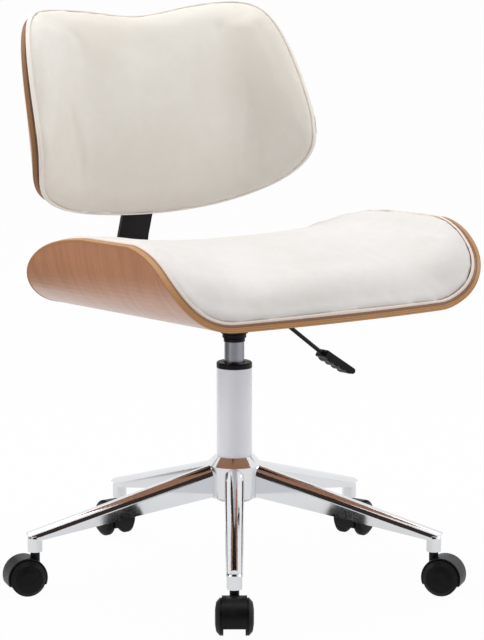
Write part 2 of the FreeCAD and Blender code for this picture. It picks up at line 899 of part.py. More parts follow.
freeOutline(sketch, *roundedRectangle(halfWidth, halfLength, plateCentre, plateCorner))
pad = plate.newObject("PartDesign::Pad", "seat_plate_pad")
pad.Profile = sketch
tie(pad, "Length", "plate_thickness")
doc.recompute()
holes = sketchOn(plate, "XY_Plane", "seat_plate_holes", raised(-size("cut_overrun")))
for across, along in seatBolts + barBolts:
    namedCircle(holes, across, along, "bolt_radius + seam_gap")
pocket(plate, holes, "seat_plate_hole_cut")
onSeat(plate, "seat_plate")

# housing welded under the plate: a box with a bore for the socket, a slot for the lever and
# a cross hole for the lever's pin
plateUnder = -worth("plate_thickness + fit_gap + fit_gap")
housingBottom = plateUnder - size("housing_drop")
halfHousing = size("housing_length") / 2
halfHousingWidth = size("housing_width") / 2
wall = size("housing_wall")
outerBox = box("housing_outer", "housing_length", "housing_width", "housing_drop",
               Vector(-halfHousing, columnCentre - halfHousingWidth, housingBottom))
innerBox = box("housing_inner", "housing_length - housing_wall - housing_wall",
               "housing_width - housing_wall - housing_wall", "housing_drop",
               Vector(-halfHousing + wall, columnCentre - halfHousingWidth + wall,
                      housingBottom + wall))
holeFoot = toSeat(0, fromSeat(columnCentre, housingBottom)[1] - size("cut_overrun") / 2)
socketHole = cylinder("housing_socket_hole", "taper_socket_radius + seam_gap", "cut_overrun",
                      Vector(0, holeFoot[0], holeFoot[1]),
                      Vector(0, -math.sin(seatTilt), math.cos(seatTilt)))
leverSlot = box("housing_lever_slot", "housing_length", "lever_slot_width", "housing_drop",
                Vector(0, columnCentre - size("lever_slot_width") / 2, housingBottom + wall))
pinHole = cylinder("housing_pin_hole", "lever_pin_radius + fit_gap", "housing_width + cut_overrun",
                   Vector(size("lever_pivot_reach"),
                          columnCentre - worth("housing_width + cut_overrun") / 2,
                          -size("lever_drop")), Vector(0, 1, 0))
housing = cut("housing_hollow", outerBox, innerBox)
housing = cut("housing_bored", housing, socketHole)
housing = cut("housing_slotted", housing, leverSlot)
housing = cut("mechanism_housing", housing, pinHole)
onSeat(housing, "mechanism_housing")

leverPin = cylinder("lever_pin", "lever_pin_radius", "housing_width", Vector(0, 0, 0))
doc.recompute()
pinStart = fromSeat(columnCentre - halfHousingWidth, -size("lever_drop"))
leverPin.Placement = Placement(
    Vector(size("lever_pivot_reach"), pinStart[0], pinStart[1]),
    Rotation(Vector(0, 0, 1), Vector(0, math.cos(seatTilt), -math.sin(seatTilt))))
finish(leverPin, "lever_pin")

# lever: a bent rod with a boss on the pin; its inner end lies over the release pin
lever = newBody("lever_rod")
path = sketchOn(lever, "XZ_Plane", "lever_path", raised(-columnCentre))
slope = math.radians(size("lever_slope"))
bend = size("lever_bend_radius")
tangent = bend * math.tan(slope / 2)
bendStart = size("lever_bend_reach") - tangent
level = -size("lever_drop")
bendMiddle = Vector(bendStart + bend * math.sin(slope / 2), level - bend * (1 - math.cos(slope / 2)), 0)
bendEnd = Vector(bendStart + bend * math.sin(slope), level - bend * (1 - math.cos(slope)), 0)
rodEnd = bendEnd + Vector(math.cos(slope), -math.sin(slope), 0) * size("lever_outer_run")
path.addGeometry(Part.LineSegment(Vector(-size("lever_inner_reach"), level, 0), Vector(bendStart, level, 0)), False)
path.addGeometry(Part.Arc(Vector(bendStart, level, 0), bendMiddle, bendEnd), False)
path.addGeometry(Part.LineSegment(bendEnd, rodEnd), False)
section = sketchOn(lever, "YZ_Plane", "lever_section", raised(-size("lever_inner_reach")))
namedCircle(section, columnCentre, level, "lever_rod_radius")
pipe = lever.newObject("PartDesign::AdditivePipe", "lever_pipe")
pipe.Profile = section
pipe.Spine = (path, ["Edge1", "Edge2", "Edge3"])
doc.recompute()
bossSketch = sketchOn(lever, "XZ_Plane", "lever_boss_outline", raised(-columnCentre))
namedCircle(bossSketch, size("lever_pivot_reach"), level, "lever_boss_radius")
boss = lever.newObject("PartDesign::Pad", "lever_boss")
boss.Profile = bossSketch
boss.SideType = "Symmetric"
tie(boss, "Length", "lever_boss_length")
doc.recompute()
eye = sketchOn(lever, "XZ_Plane", "lever_eye_outline", raised(-columnCentre - size("lever_boss_length")))
namedCircle(eye, size("lever_pivot_reach"), level, "lever_pin_radius + running_gap")
pocket(lever, eye, "lever_eye_cut")
onSeat(lever, "lever_rod")

# handle: a flat paddle with finger scallops below, bored for the rod
handle = newBody("lever_handle")
along = Vector(math.cos(slope), -math.sin(slope), 0)
handleStart = rodEnd - along * size("handle_overlap")
handleTurn = math.radians(size("handle_slope"))
forward = Vector(math.cos(handleTurn), -math.sin(handleTurn), 0)
upward = Vector(math.sin(handleTurn), math.cos(handleTurn), 0)
halfTall = size("handle_height") / 2
tipTall = size("handle_tip_height") / 2


def onHandle(reach, up):
    return handleStart + forward * reach + upward * up


fingers = int(size("handle_finger_count"))
gripStartShare = 0.12
grip = size("handle_length") * (1 - gripStartShare)
steps = []
edge = size("handle_length") * gripStartShare
steps.append(onHandle(edge, -halfTall))
for i in range(fingers):
    mid = edge + grip * (i + 0.5) / fingers
    end = edge + grip * (i + 1) / fingers
    fall = -halfTall + (halfTall - tipTall) * (i + 1) / fingers
    midFall = -halfTall + (halfTall - tipTall) * (i + 0.5) / fingers
    steps.append((onHandle(mid, midFall - size("handle_finger_bulge")), onHandle(end, fall)))
steps.append((onHandle(size("handle_length") + tipTall, 0), onHandle(size("handle_length"), tipTall)))
steps.append(onHandle(0, halfTall))
steps.append(onHandle(0, -halfTall))
sketch = sketchOn(handle, "XZ_Plane", "handle_outline", raised(-columnCentre))
freeOutline(sketch, onHandle(0, -halfTall), steps)
pad = handle.newObject("PartDesign::Pad", "handle_pad")
pad.Profile = sketch
pad.SideType = "Symmetric"
tie(pad, "Length", "handle_width")
doc.recompute()
rims = []
for number, rim in enumerate(handle.Shape.Edges, 1):
    ends = [abs(abs(v.Point.y - columnCentre) - size("handle_width") / 2) for v in rim.Vertexes]
    if max(ends) < size("fit_gap"):
        rims.append("Edge%d" % number)
rounding = handle.newObject("PartDesign::Fillet", "handle_rounding")
rounding.Base = (pad, rims)
tie(rounding, "Radius", "handle_round")
doc.recompute()
tool = sketchOn(handle, "XZ_Plane", "handle_bore_path", raised(-columnCentre))
mouth = handleStart - along * size("handle_overlap")
tool.addGeometry(Part.LineSegment(mouth, rodEnd + along * size("seam_gap")), False)
boreSection = sketchOn(handle, "YZ_Plane", "handle_bore_section", Placement(
    Vector(columnCentre, mouth.y, mouth.x), Rotation(Vector(1, 0, 0), size("lever_slope"))))
namedCircle(boreSection, 0, 0, "lever_rod_radius + fit_gap")
before = handle.Shape.Volume
boreCut = handle.newObject("PartDesign::SubtractivePipe", "handle_bore")
boreCut.Profile = boreSection
boreCut.Spine = (tool, ["Edge1"])
doc.recompute()
if handle.Shape.Volume > before - 1e-6:
    raise RuntimeError("the handle's bore cuts nothing")
onSeat(handle, "lever_handle")


# flat bar bent to shape: straight runs joined by bends, offset to both faces
def bentBar(corners, radius, thickness):
    runs = []
    for i in range(len(corners) - 1):
        step = corners[i + 1] - corners[i]
        runs.append(step.normalize())
    sides = {1: [], -1: []}
    for side in (1, -1):
        for i, corner in enumerate(corners):
            if i == 0 or i == len(corners) - 1:
                run = runs[0] if i == 0 else runs[-1]
                normal = Vector(-run.y, run.x, 0)
                sides[side].append(corner + normal * side * thickness / 2)
                continue
            arriving, after = runs[i - 1], runs[i]
            turn = math.atan2(arriving.x * after.y - arriving.y * after.x, arriving.dot(after))
            reach = radius * math.tan(abs(turn) / 2)
            turnSide = 1 if turn > 0 else -1
            first = corner - arriving * reach
            centre = first + Vector(-arriving.y, arriving.x, 0) * turnSide * radius
            face = radius - turnSide * side * thickness / 2
            points = []
            for share in (0, 0.25, 0.5, 0.75, 1):
                spin = turn * share
                x, y = arriving.y * turnSide, -arriving.x * turnSide
                points.append(centre + Vector(x * math.cos(spin) - y * math.sin(spin),
                                              x * math.sin(spin) + y * math.cos(spin), 0) * face)
            sides[side].append(points)
    return sides


# back bar: from under the plate it runs back, turns up behind the seat, leans forward and
# lies against the backrest's shell
recline = math.radians(size("back_recline"))
backHeight = worth("seat_frame_height + back_rise")
barLevel = -worth("plate_thickness + fit_gap + fit_gap") - size("bar_thickness") / 2
startAt = fromSeat(size("bar_start"), barLevel)
seatRun = (math.cos(seatTilt), -math.sin(seatTilt))
lean = math.radians(size("bar_lean"))
leanRun = (-math.sin(lean), math.cos(lean))
leanAt = (size("bar_lean_depth"), worth("seat_frame_height + bar_lean_rise"))
backRun = (math.sin(recline), math.cos(recline))
backGap = size("bar_thickness") / 2 + size("seam_gap")
backAt = (size("back_depth") + backGap * math.cos(recline),
          backHeight - backGap * math.sin(recline))


def meet(a, runA, b, runB):
    det = runA[0] * -runB[1] + runB[0] * runA[1]
    share = ((b[0] - a[0]) * -runB[1] + runB[0] * (b[1] - a[1])) / det
    return Vector(a[0] + runA[0] * share, a[1] + runA[1] * share, 0)


lowCorner = meet(startAt, seatRun, leanAt, leanRun)
highCorner = meet(leanAt, leanRun, backAt, backRun)
barEnd = Vector(backAt[0] + backRun[0] * size("bar_top_reach"),
                backAt[1] + backRun[1] * size("bar_top_reach"), 0)
faces = bentBar([Vector(startAt[0], startAt[1], 0), lowCorner, highCorner, barEnd],
                size("bar_bend_radius"), size("bar_thickness"))


def followSide(entries):
    steps = []
    for entry in entries:
        if isinstance(entry, list):
            steps += [entry[0], (entry[1], entry[2]), (entry[3], entry[4])]
        else:
            steps.append(entry)
    return steps


def backwards(entries):
    return [list(reversed(e)) if isinstance(e, list) else e for e in reversed(entries)]


bar = newBody("back_bar")
sketch = sketchOn(bar, "YZ_Plane", "back_bar_outline")
outlineSteps = followSide(faces[1][1:]) + followSide(backwards(faces[-1])) + [faces[1][0]]
freeOutline(sketch, faces[1][0], outlineSteps)
pad = bar.newObject("PartDesign::Pad", "back_bar_pad")
pad.Profile = sketch
pad.SideType = "Symmetric"
tie(pad, "Length", "bar_width")
doc.recompute()


# bolt holes in the bar, square to its two flat ends
def barHoles(name, places, centreLine, tilt):
    sketch = sketchOn(bar, "XY_Plane", name, Placement(Vector(0, centreLine[0], centreLine[1]),
                                                       Rotation(Vector(1, 0, 0), tilt)))
    for across, lengthways in places:
        namedCircle(sketch, across, lengthways, "bolt_radius + seam_gap")
    pocket(bar, sketch, name + "_cut", "bar_thickness + bar_thickness + bar_thickness", True)


frameAt = fromSeat(0, barLevel - size("bar_thickness"))
barHoles("bar_seat_holes", barBolts, frameAt, -size("seat_tilt"))
behind = worth("bar_thickness + bar_thickness") - size("bar_thickness") / 2 + backGap
behindAt = (size("back_depth") + behind * math.cos(recline),
            backHeight - behind * math.sin(recline))
backBolts = [(x, y) for x in (-barHalf, barHalf) for y in (-size("back_low_bolt"), size("back_high_bolt"))]
barHoles("bar_back_holes", backBolts, behindAt, math.degrees(math.pi / 2 - recline))
finish(bar, "back_bar")


# the backrest's reclined frame: X across, +Z up along the shell, -Y forwards
def onBack(thing, name):
    thing.Placement = Placement(
        Vector(0, size("back_depth"), backHeight),
        Rotation(Vector(1, 0, 0), -size("back_recline")),
    )
    tie(thing, "Placement.Base.y", "back_depth")
    tie(thing, "Placement.Base.z", "seat_frame_height + back_rise")
    finish(thing, name)


def backPlace(across):
    return bentSheet(across, size("back_flat_half"), size("back_bend_radius"))


def backTopHalf(height):
    rise = height / worth("back_top + back_widest")
    share = bulge(rise, size("back_top_roundness"))
    straight = size("back_top_straight_half")
    half = straight + (size("back_developed_half") - straight) * share
    return half * (1 - size("back_taper_share") * rise ** size("back_taper_power"))


# the height of the upper outline at a distance across, found by halving
def backTopEdge(across):
    reach = abs(across)
    low, high = 0.0, worth("back_top + back_widest")
    for _ in range(50):
        middle = (low + high) / 2
        if backTopHalf(middle) > reach:
            low = middle
        else:
            high = middle
    dip = size("back_top_dip") * math.exp(-(reach / size("back_dip_half")) ** 2)
    return -size("back_widest") + low - dip


def backBottomEdge(across):
    reach = abs(across)
    straight = size("back_bottom_straight_half")
    share = (reach - straight) / (size("back_developed_half") - straight)
    bow = size("back_bottom_bow") * max(1 - (reach / size("back_developed_half")) ** 2, 0)
    depth = worth("back_bottom - back_widest") * bulge(share, size("back_bottom_roundness"))
    return -size("back_widest") - depth - bow


def standingSketch(body, name, place, lift=0):
    out, rise, turn = place
    out -= lift * math.sin(turn)
    rise += lift * math.cos(turn)
    offset = Placement(Vector(-rise, 0, out), Rotation(Vector(0, 1, 0), -math.degrees(turn)))
    return sketchOn(body, "YZ_Plane", name, offset)


# the pad reaches past the shell all round, so the shell's outline is the pad's, drawn in
shellHalf = worth("back_developed_half - back_overhang")
shellStations = stations(shellHalf, size("back_flat_half"), size("back_flat_half") / stationSteps, tipSteps)
backShell = newBody("back_shell")
backPly = size("back_ply")
sketches = []
for k, across in enumerate(shellStations):
    sketch = standingSketch(backShell, "back_shell_%02d" % k, backPlace(across))
    padAcross = across * size("back_developed_half") / shellHalf
    low = backBottomEdge(padAcross) + size("back_overhang")
    high = backTopEdge(padAcross) - size("back_overhang")
    freeOutline(sketch, Vector(0, low, 0), [
        Vector(0, high, 0), Vector(-backPly, high, 0), Vector(-backPly, low, 0), Vector(0, low, 0)])
    sketches.append(sketch)
loft(backShell, sketches, "back_shell_sheet")
nutHoles(backShell, "XZ_Plane", "back_nuts", backBolts,
         raised(worth("back_ply - nut_recess")), True, raised(-backPly))
onBack(backShell, "back_shell")

padStations = stations(size("back_developed_half"), size("back_flat_half"),
                       size("back_flat_half") / stationSteps, tipSteps)
backCushion = newBody("back_cushion")
sketches = []
for k, across in enumerate(padStations):
    sketch = standingSketch(backCushion, "back_cushion_%02d" % k, backPlace(across),
                            worth("back_ply + soft_gap"))
    share = abs(across) / (size("back_developed_half") * tipShare)
    height = worth("border + edge_crown") + worth("back_crown - border - edge_crown") * math.sqrt(
        1 - min(share, 1) ** size("back_crown_power"))
    crownOutline(sketch, backBottomEdge(across), backTopEdge(across), height,
                 size("back_roll_share"), size("back_shoulder_share"),
                 size("back_roll_share"), size("back_shoulder_share"), lambda a, b: Vector(-b, a, 0))
    sketches.append(sketch)
loft(backCushion, sketches, "back_cushion_pad")
onBack(backCushion, "back_cushion")


# bolts and tee nuts: the seat's four, the bar's four and the backrest's four
def boltShape(headFace, tip):
    head = Part.makeCylinder(size("bolt_head_radius"), size("bolt_head_height"),
                             Vector(0, 0, headFace - size("bolt_head_height")))
    rim = [e for e in head.Edges if abs(e.BoundBox.ZMax - headFace + size("bolt_head_height")) < 1e-6
           and len(e.Vertexes) == 1]
    head = head.makeFillet(size("bolt_head_height") / 2, rim)
    shank = Part.makeCylinder(size("bolt_radius"), tip - headFace + size("bolt_head_height") / 2,
                              Vector(0, 0, headFace - size("bolt_head_height") / 2))
    return head.fuse(shank).removeSplitter()


def nutShape(sheetPly):
    bottom = worth(sheetPly + " - nut_recess + nut_flange_thickness")
    flange = Part.makeCylinder(size("nut_flange_radius"), size("nut_flange_thickness"),
                               Vector(0, 0, bottom - size("nut_flange_thickness")))
    barrel = Part.makeCylinder(size("nut_barrel_radius"), size("nut_barrel_length"),
                               Vector(0, 0, bottom - size("nut_barrel_length")))
    bore = Part.makeCylinder(worth("bolt_radius + fit_gap"), size("cut_overrun"),
                             Vector(0, 0, bottom - size("cut_overrun") / 2))
    return flange.fuse(barrel).cut(bore).removeSplitter()


seatPlacement = Placement(Vector(0, -size("seat_back_shift"), size("seat_frame_height")),
                          Rotation(Vector(1, 0, 0), -size("seat_tilt")))
backPlacement = Placement(Vector(0, size("back_depth"), backHeight),
                          Rotation(Vector(1, 0, 0), -size("back_recline")))
turnForward = Rotation(Vector(0, 0, 1), Vector(0, -1, 0))
seatFace = -worth("plate_thickness + fit_gap + fit_gap")
barFace = seatFace - worth("bar_thickness + fit_gap")
backFace = -worth("seam_gap + bar_thickness + fit_gap")
bolts = []
nuts = []
for places, face, frame, turn, sheetPly in (
        (seatBolts, seatFace, seatPlacement, Rotation(), "ply"),
        (barBolts, barFace, seatPlacement, Rotation(), "ply"),
        (backBolts, backFace, backPlacement, turnForward, "back_ply")):
    for across, lengthways in places:
        spot = Vector(across, lengthways, 0) if frame is seatPlacement else Vector(across, 0, lengthways)
        place = frame.multiply(Placement(spot, turn))
        for shape, group in ((boltShape(face, size("bolt_reach")), bolts), (nutShape(sheetPly), nuts)):
            shape.Placement = place.multiply(shape.Placement)
            group.append(shape)
boltGroup = doc.addObject("Part::Feature", "shell_bolts")
boltGroup.Shape = Part.makeCompound(bolts)
finish(boltGroup, "shell_bolts")
nutGroup = doc.addObject("Part::Feature", "tee_nuts")
nutGroup.Shape = Part.makeCompound(nuts)
finish(nutGroup, "tee_nuts")


# casters: each trails outwards from its stem, with a hood over two wheels on one axle
def casterPlace(i):
    turn = math.radians(legAngle(i))
    return Placement(Vector(tipReach * math.cos(turn), tipReach * math.sin(turn), 0),
                     Rotation(Vector(0, 0, 1), legAngle(i)))


sideways = Vector(0, 1, 0)
trail = size("caster_trail")
wheelHeight = size("wheel_radius")


def wheelCentre(side):
    return Vector(trail, side, wheelHeight)


for i in range(legCount):
    n = i + 1
    place = casterPlace(i)
    drum = cylinder("hood_drum_%d" % n, "hood_outer_radius", "hood_width",
                    wheelCentre(-size("hood_width") / 2), sideways)
    hollows = []
    webHalf = size("hood_web") / 2
    for letter, start in (("a", -size("cut_overrun") - webHalf), ("b", webHalf)):
        hollows.append(cylinder("hood_hollow_%s_%d" % (letter, n), "hood_inner_radius", "cut_overrun",
                                wheelCentre(start), sideways))
    neck = cylinder("hood_neck_%d" % n, "hood_neck_radius", "hood_neck_top - hood_boss_bottom",
                    Vector(0, 0, size("hood_boss_bottom")))
    axleBoss = cylinder("hood_axle_boss_%d" % n, "axle_boss_radius", "axle_boss_length",
                        wheelCentre(-size("axle_boss_length") / 2), sideways)
    skirt = box("hood_skirt_%d" % n, "hood_outer_radius + hood_outer_radius + cut_overrun",
                "hood_width + cut_overrun", "hood_skirt_height + cut_overrun",
                Vector(trail - worth("hood_outer_radius + cut_overrun"),
                       -worth("hood_width + cut_overrun") / 2, -size("cut_overrun")))
    stemHole = cylinder("hood_stem_hole_%d" % n, "stem_foot_radius + fit_gap", "cut_overrun",
                        Vector(0, 0, size("stem_foot")))
    axleHole = cylinder("hood_axle_hole_%d" % n, "axle_radius + fit_gap", "hood_width + cut_overrun",
                        wheelCentre(-worth("hood_width + cut_overrun") / 2), sideways)
    hollow = cut("hood_open_%d" % n, cut("hood_half_%d" % n, drum, hollows[0]), hollows[1])
    trimmed = cut("hood_trimmed_%d" % n, hollow, skirt)
    solid = fuse("hood_solid_%d" % n, [trimmed, neck, axleBoss])
    bored = cut("hood_bored_%d" % n, solid, stemHole)
    hood = cut("caster_hood_%d" % n, bored, axleHole)
    hood.Placement = place
    finish(hood, "caster_hood_%d" % n)
    stem = turned("caster_stem_%d" % n, [
        ("0", "stem_foot + fit_gap"),
        ("stem_foot_radius", "stem_foot + fit_gap"),
        ("stem_foot_radius", "hood_neck_top + fit_gap"),
        ("stem_radius", "hood_neck_top + fit_gap"),
        ("stem_radius", "stem_top"),
        ("0", "stem_top"),
    ])
    stem.Placement = place
    finish(stem, "caster_stem_%d" % n)
    axle = cylinder("caster_axle_%d" % n, "axle_radius", "axle_length", Vector(0, 0, 0))
    axle.Placement = place.multiply(Placement(wheelCentre(-size("axle_length") / 2),
                                              Rotation(Vector(0, 0, 1), sideways)))
    finish(axle, "caster_axle_%d" % n)
    for letter, side in (("a", -1), ("b", 1)):
        wheel = turned("wheel_%d%s" % (n, letter), [
            ("axle_radius + running_gap", "wheel_inner_face"),
            ("wheel_hub_radius", "wheel_inner_face"),
            ("wheel_hub_radius", "wheel_rim_face"),
            ("wheel_radius", "wheel_rim_face"),
            ("wheel_radius", "wheel_tread_edge"),
            ("wheel_dome_radius", "wheel_dome_face"),
            ("wheel_cover_radius", "wheel_outer_face"),
            ("0", "wheel_outer_face"),
            ("0", "wheel_inner_face + wheel_bore_depth"),
            ("axle_radius + running_gap", "wheel_inner_face + wheel_bore_depth"),
        ])
        wheel.Placement = place.multiply(Placement(
            wheelCentre(0), Rotation(Vector(0, 0, 1), Vector(0, side, 0))))
        finish(wheel, "wheel_%d%s" % (n, letter))

doc.recompute()

for thing in doc.Objects:
    if "Invalid" in thing.State or "Error" in thing.State:
        raise RuntimeError("%s failed: %s" % (thing.Name, thing.State))
for name, thing in parts:
    shape = thing.Shape
    if shape.isNull() or not shape.isValid():
        raise RuntimeError("%s has no sound shape" % name)

for name, thing in parts:
    thing.Shape.exportStep("parts/%s.step" % name)
    print(name, len(thing.Shape.Solids), round(thing.Shape.Volume, 1))
print(len(parts), "pieces")
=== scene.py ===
import json
import math
import bmesh
import bpy
from mathutils import Matrix, Vector
from mathutils import noise as noiseAt


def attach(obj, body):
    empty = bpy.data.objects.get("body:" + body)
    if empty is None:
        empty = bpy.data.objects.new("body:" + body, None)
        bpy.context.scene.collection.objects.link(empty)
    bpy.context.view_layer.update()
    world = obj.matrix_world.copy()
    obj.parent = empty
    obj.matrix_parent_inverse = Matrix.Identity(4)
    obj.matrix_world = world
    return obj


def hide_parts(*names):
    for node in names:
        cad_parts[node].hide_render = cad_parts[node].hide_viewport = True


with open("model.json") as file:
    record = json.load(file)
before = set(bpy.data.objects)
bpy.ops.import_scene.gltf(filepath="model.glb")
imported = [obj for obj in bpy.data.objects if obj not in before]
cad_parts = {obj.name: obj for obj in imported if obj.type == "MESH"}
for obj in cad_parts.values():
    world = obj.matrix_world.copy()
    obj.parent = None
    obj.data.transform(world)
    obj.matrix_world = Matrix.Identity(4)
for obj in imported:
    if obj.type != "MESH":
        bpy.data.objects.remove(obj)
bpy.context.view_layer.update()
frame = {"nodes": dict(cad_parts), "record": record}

print("frame loaded,", len(frame["nodes"]), "nodes")


def tone(red, green, blue):  # a screen colour, 0 to 255, as the shader's linear one
    def linear(level):
        level = level / 255
        return level / 12.92 if level <= 0.04045 else ((level + 0.055) / 1.055) ** 2.4
    return (linear(red), linear(green), linear(blue), 1)


# camera at the photograph's place: the chair is turned 31.8 degrees and seen from a little above
cameraView = {
    "place": (-2.24592, -3.62236, 1.12988),
    "tiltDown": 0.17699,
    "turn": -0.55752,
    "lens": 174.615,
    "sensorWidth": 36,
    "nearest": 0.1,
    "furthest": 60,
}
lens = bpy.data.cameras.new("photoCamera")
lens.lens = cameraView["lens"]
lens.sensor_width = cameraView["sensorWidth"]
lens.clip_start = cameraView["nearest"]
lens.clip_end = cameraView["furthest"]
camera = bpy.data.objects.new("photoCamera", lens)
camera.location = cameraView["place"]
camera.rotation_euler = (math.pi / 2 - cameraView["tiltDown"], 0, cameraView["turn"])
bpy.context.scene.collection.objects.link(camera)
bpy.context.scene.camera = camera
bpy.context.scene.view_settings.view_transform = "Standard"
print("camera set")


# node helpers
def addNode(tree, kind, values=None, **settings):
    node = tree.nodes.new(kind)
    for name, value in settings.items():
        setattr(node, name, value)
    for name, value in (values or {}).items():
        node.inputs[name].default_value = value
    return node


def feed(tree, term, socket):
    if isinstance(term, bpy.types.NodeSocket):
        tree.links.new(term, socket)
    else:
        socket.default_value = term


def maths(tree, operation, *terms):
    node = addNode(tree, "ShaderNodeMath", operation=operation)
    for i, term in enumerate(terms):
        feed(tree, term, node.inputs[i])
    return node.outputs[0]


def mixColour(tree, share, first, second):
    node = addNode(tree, "ShaderNodeMix", data_type="RGBA")
    feed(tree, share, node.inputs[0])
    feed(tree, first, node.inputs[6])
    feed(tree, second, node.inputs[7])
    return node.outputs[2]


def mixShader(tree, share, first, second):
    node = addNode(tree, "ShaderNodeMixShader")
    tree.links.new(share, node.inputs["Fac"])
    tree.links.new(first, node.inputs[1])
    tree.links.new(second, node.inputs[2])
    return node.outputs["Shader"]


def spread(tree, value, low, high, newLow, newHigh):
    limits = {"From Min": low, "From Max": high, "To Min": newLow, "To Max": newHigh}
    node = addNode(tree, "ShaderNodeMapRange", limits)
    feed(tree, value, node.inputs["Value"])
    return node.outputs["Result"]


def noise(tree, vector, scale, detail, roughness):
    node = addNode(tree, "ShaderNodeTexNoise", {"Scale": scale, "Detail": detail, "Roughness": roughness})
    tree.links.new(vector, node.inputs["Vector"])
    return node.outputs["Fac"]


def stretchedNoise(tree, vector, scale, detail, roughness):
    node = addNode(tree, "ShaderNodeMapping", {"Scale": scale})
    tree.links.new(vector, node.inputs["Vector"])
    return noise(tree, node.outputs["Vector"], 1.0, detail, roughness)


def newGroup(name, inputs, outputs):
    group = bpy.data.node_groups.new(name, "ShaderNodeTree")
    for socket, kind, value in inputs:
        made = group.interface.new_socket(name=socket, in_out="INPUT", socket_type="NodeSocket" + kind)
        if value is not None:
            made.default_value = value
    for socket, kind in outputs:
        group.interface.new_socket(name=socket, in_out="OUTPUT", socket_type="NodeSocket" + kind)
    return group, group.nodes.new("NodeGroupInput"), group.nodes.new("NodeGroupOutput")


def useGroup(tree, group, **values):
    node = addNode(tree, "ShaderNodeGroup", node_tree=group)
    for name, value in values.items():
        feed(tree, value, node.inputs[name[0].upper() + name[1:]])
    return node


def emptyMaterial(name):
    material = bpy.data.materials.new(name)
    material.use_nodes = True
    material.node_tree.nodes.clear()
    output = addNode(material.node_tree, "ShaderNodeOutputMaterial")
    return material, material.node_tree, output.inputs["Surface"]


def newMaterial(name, **values):
    material, tree, surface = emptyMaterial(name)
    shader = addNode(tree, "ShaderNodeBsdfPrincipled", values)
    tree.links.new(shader.outputs["BSDF"], surface)
    place = addNode(tree, "ShaderNodeTexCoord")
    return material, tree, shader, place.outputs["Object"]


def bump(tree, shader, height, strength, distance):
    node = addNode(tree, "ShaderNodeBump", {"Strength": strength, "Distance": distance})
    tree.links.new(height, node.inputs["Height"])
    tree.links.new(node.outputs["Normal"], shader.inputs["Normal"])


# the bent sheets: how high over a sheet's lower face a point lies, and which way is up there
seatSheet = {"toFlat": 3.15, "at": (0, -0.0387, 0.3938), "flatHalf": 0.162, "bendRadius": 0.090,
             "wingTurn": math.radians(83), "ply": 0.0095}
backSheet = {"toFlat": -79.05, "at": (0, 0.2565, 0.6377), "flatHalf": 0.103, "bendRadius": 0.1383,
             "wingTurn": math.radians(90), "ply": 0.0075}


def flattening(sheet):
    return Matrix.Rotation(math.radians(sheet["toFlat"]), 4, "X") @ Matrix.Translation(-Vector(sheet["at"]))


def sheetPlace(sheet, point):
    local = flattening(sheet) @ point
    out = abs(local.x) - sheet["flatHalf"]
    up = local.z - sheet["bendRadius"]
    turn = min(max(math.atan2(out, -up), 0), sheet["wingTurn"])
    height = sheet["bendRadius"] - out * math.sin(turn) + up * math.cos(turn)
    normal = Vector((-math.copysign(math.sin(turn), local.x), 0, math.cos(turn)))
    return height, flattening(sheet).to_3x3().inverted() @ normal


# a sheet laid flat by nodes: how far across, how far along and how high a point lies
plySheet, given, put = newGroup("plySheet", [
    ("Vector", "Vector", None), ("FlatHalf", "Float", None), ("BendRadius", "Float", None),
    ("WingTurn", "Float", None)], [("Vector", "Vector")])
split = addNode(plySheet, "ShaderNodeSeparateXYZ")
plySheet.links.new(given.outputs["Vector"], split.inputs[0])
out = maths(plySheet, "ABSOLUTE", split.outputs["X"])
out = maths(plySheet, "SUBTRACT", out, given.outputs["FlatHalf"])
up = maths(plySheet, "SUBTRACT", split.outputs["Z"], given.outputs["BendRadius"])
turn = maths(plySheet, "ARCTAN2", out, maths(plySheet, "MULTIPLY", up, -1.0))
turn = maths(plySheet, "MINIMUM", maths(plySheet, "MAXIMUM", turn, 0.0), given.outputs["WingTurn"])
sine = maths(plySheet, "SINE", turn)
cosine = maths(plySheet, "COSINE", turn)
height = maths(plySheet, "MULTIPLY_ADD", up, cosine, given.outputs["BendRadius"])
height = maths(plySheet, "SUBTRACT", height, maths(plySheet, "MULTIPLY", out, sine))
across = maths(plySheet, "MULTIPLY_ADD", given.outputs["BendRadius"], turn, given.outputs["FlatHalf"])
across = maths(plySheet, "MULTIPLY_ADD", out, cosine, across)
across = maths(plySheet, "MULTIPLY_ADD", up, sine, across)
across = maths(plySheet, "MULTIPLY", across, maths(plySheet, "SIGN", split.outputs["X"]))
joined = addNode(plySheet, "ShaderNodeCombineXYZ")
plySheet.links.new(across, joined.inputs["X"])
plySheet.links.new(split.outputs["Y"], joined.inputs["Y"])
plySheet.links.new(height, joined.inputs["Z"])
plySheet.links.new(joined.outputs["Vector"], put.inputs["Vector"])


# veneer: growth rings drawn out across the sheet, fine fibres and pores; bare plies and glue at the edge,
# with painted shade darkening the edge's upper plies under the cover's border
wood = {
    "pale": tone(204, 142, 104), "deep": tone(156, 104, 74),
    "ringScale": (3.4, 17, 1), "ringFolds": 13.0, "ringShare": 0.26,
    "fibreScale": (9, 330, 40), "fibreShare": 0.64,
    "poreScale": (55, 1500, 200), "poreFrom": 0.60, "poreTo": 0.70, "poreShare": 0.28,
    "poreColour": tone(104, 66, 44),
    "edgePale": tone(206, 154, 100), "edgeDeep": tone(156, 104, 60),
    "layers": 7.0, "oddShare": 0.5, "endGrainScale": (240, 240, 30), "endGrainShare": 0.4,
    "glueFrom": 0.40, "glueTo": 0.49, "glueShare": 0.45, "glueColour": tone(112, 76, 48),
    "upperFrom": 0.58, "upperTo": 0.90, "upperShadeShare": 0.80, "upperShadeColour": tone(88, 56, 36),
    "edgeWithin": 0.46, "faceBeyond": 0.475,
    "roughness": 0.36, "edgeRoughness": 0.22, "fibreRoughness": 0.12, "fibreRelief": 0.5,
    "coatRoughness": 0.20, "relief": 0.25, "reliefDepth": 0.0002,
}
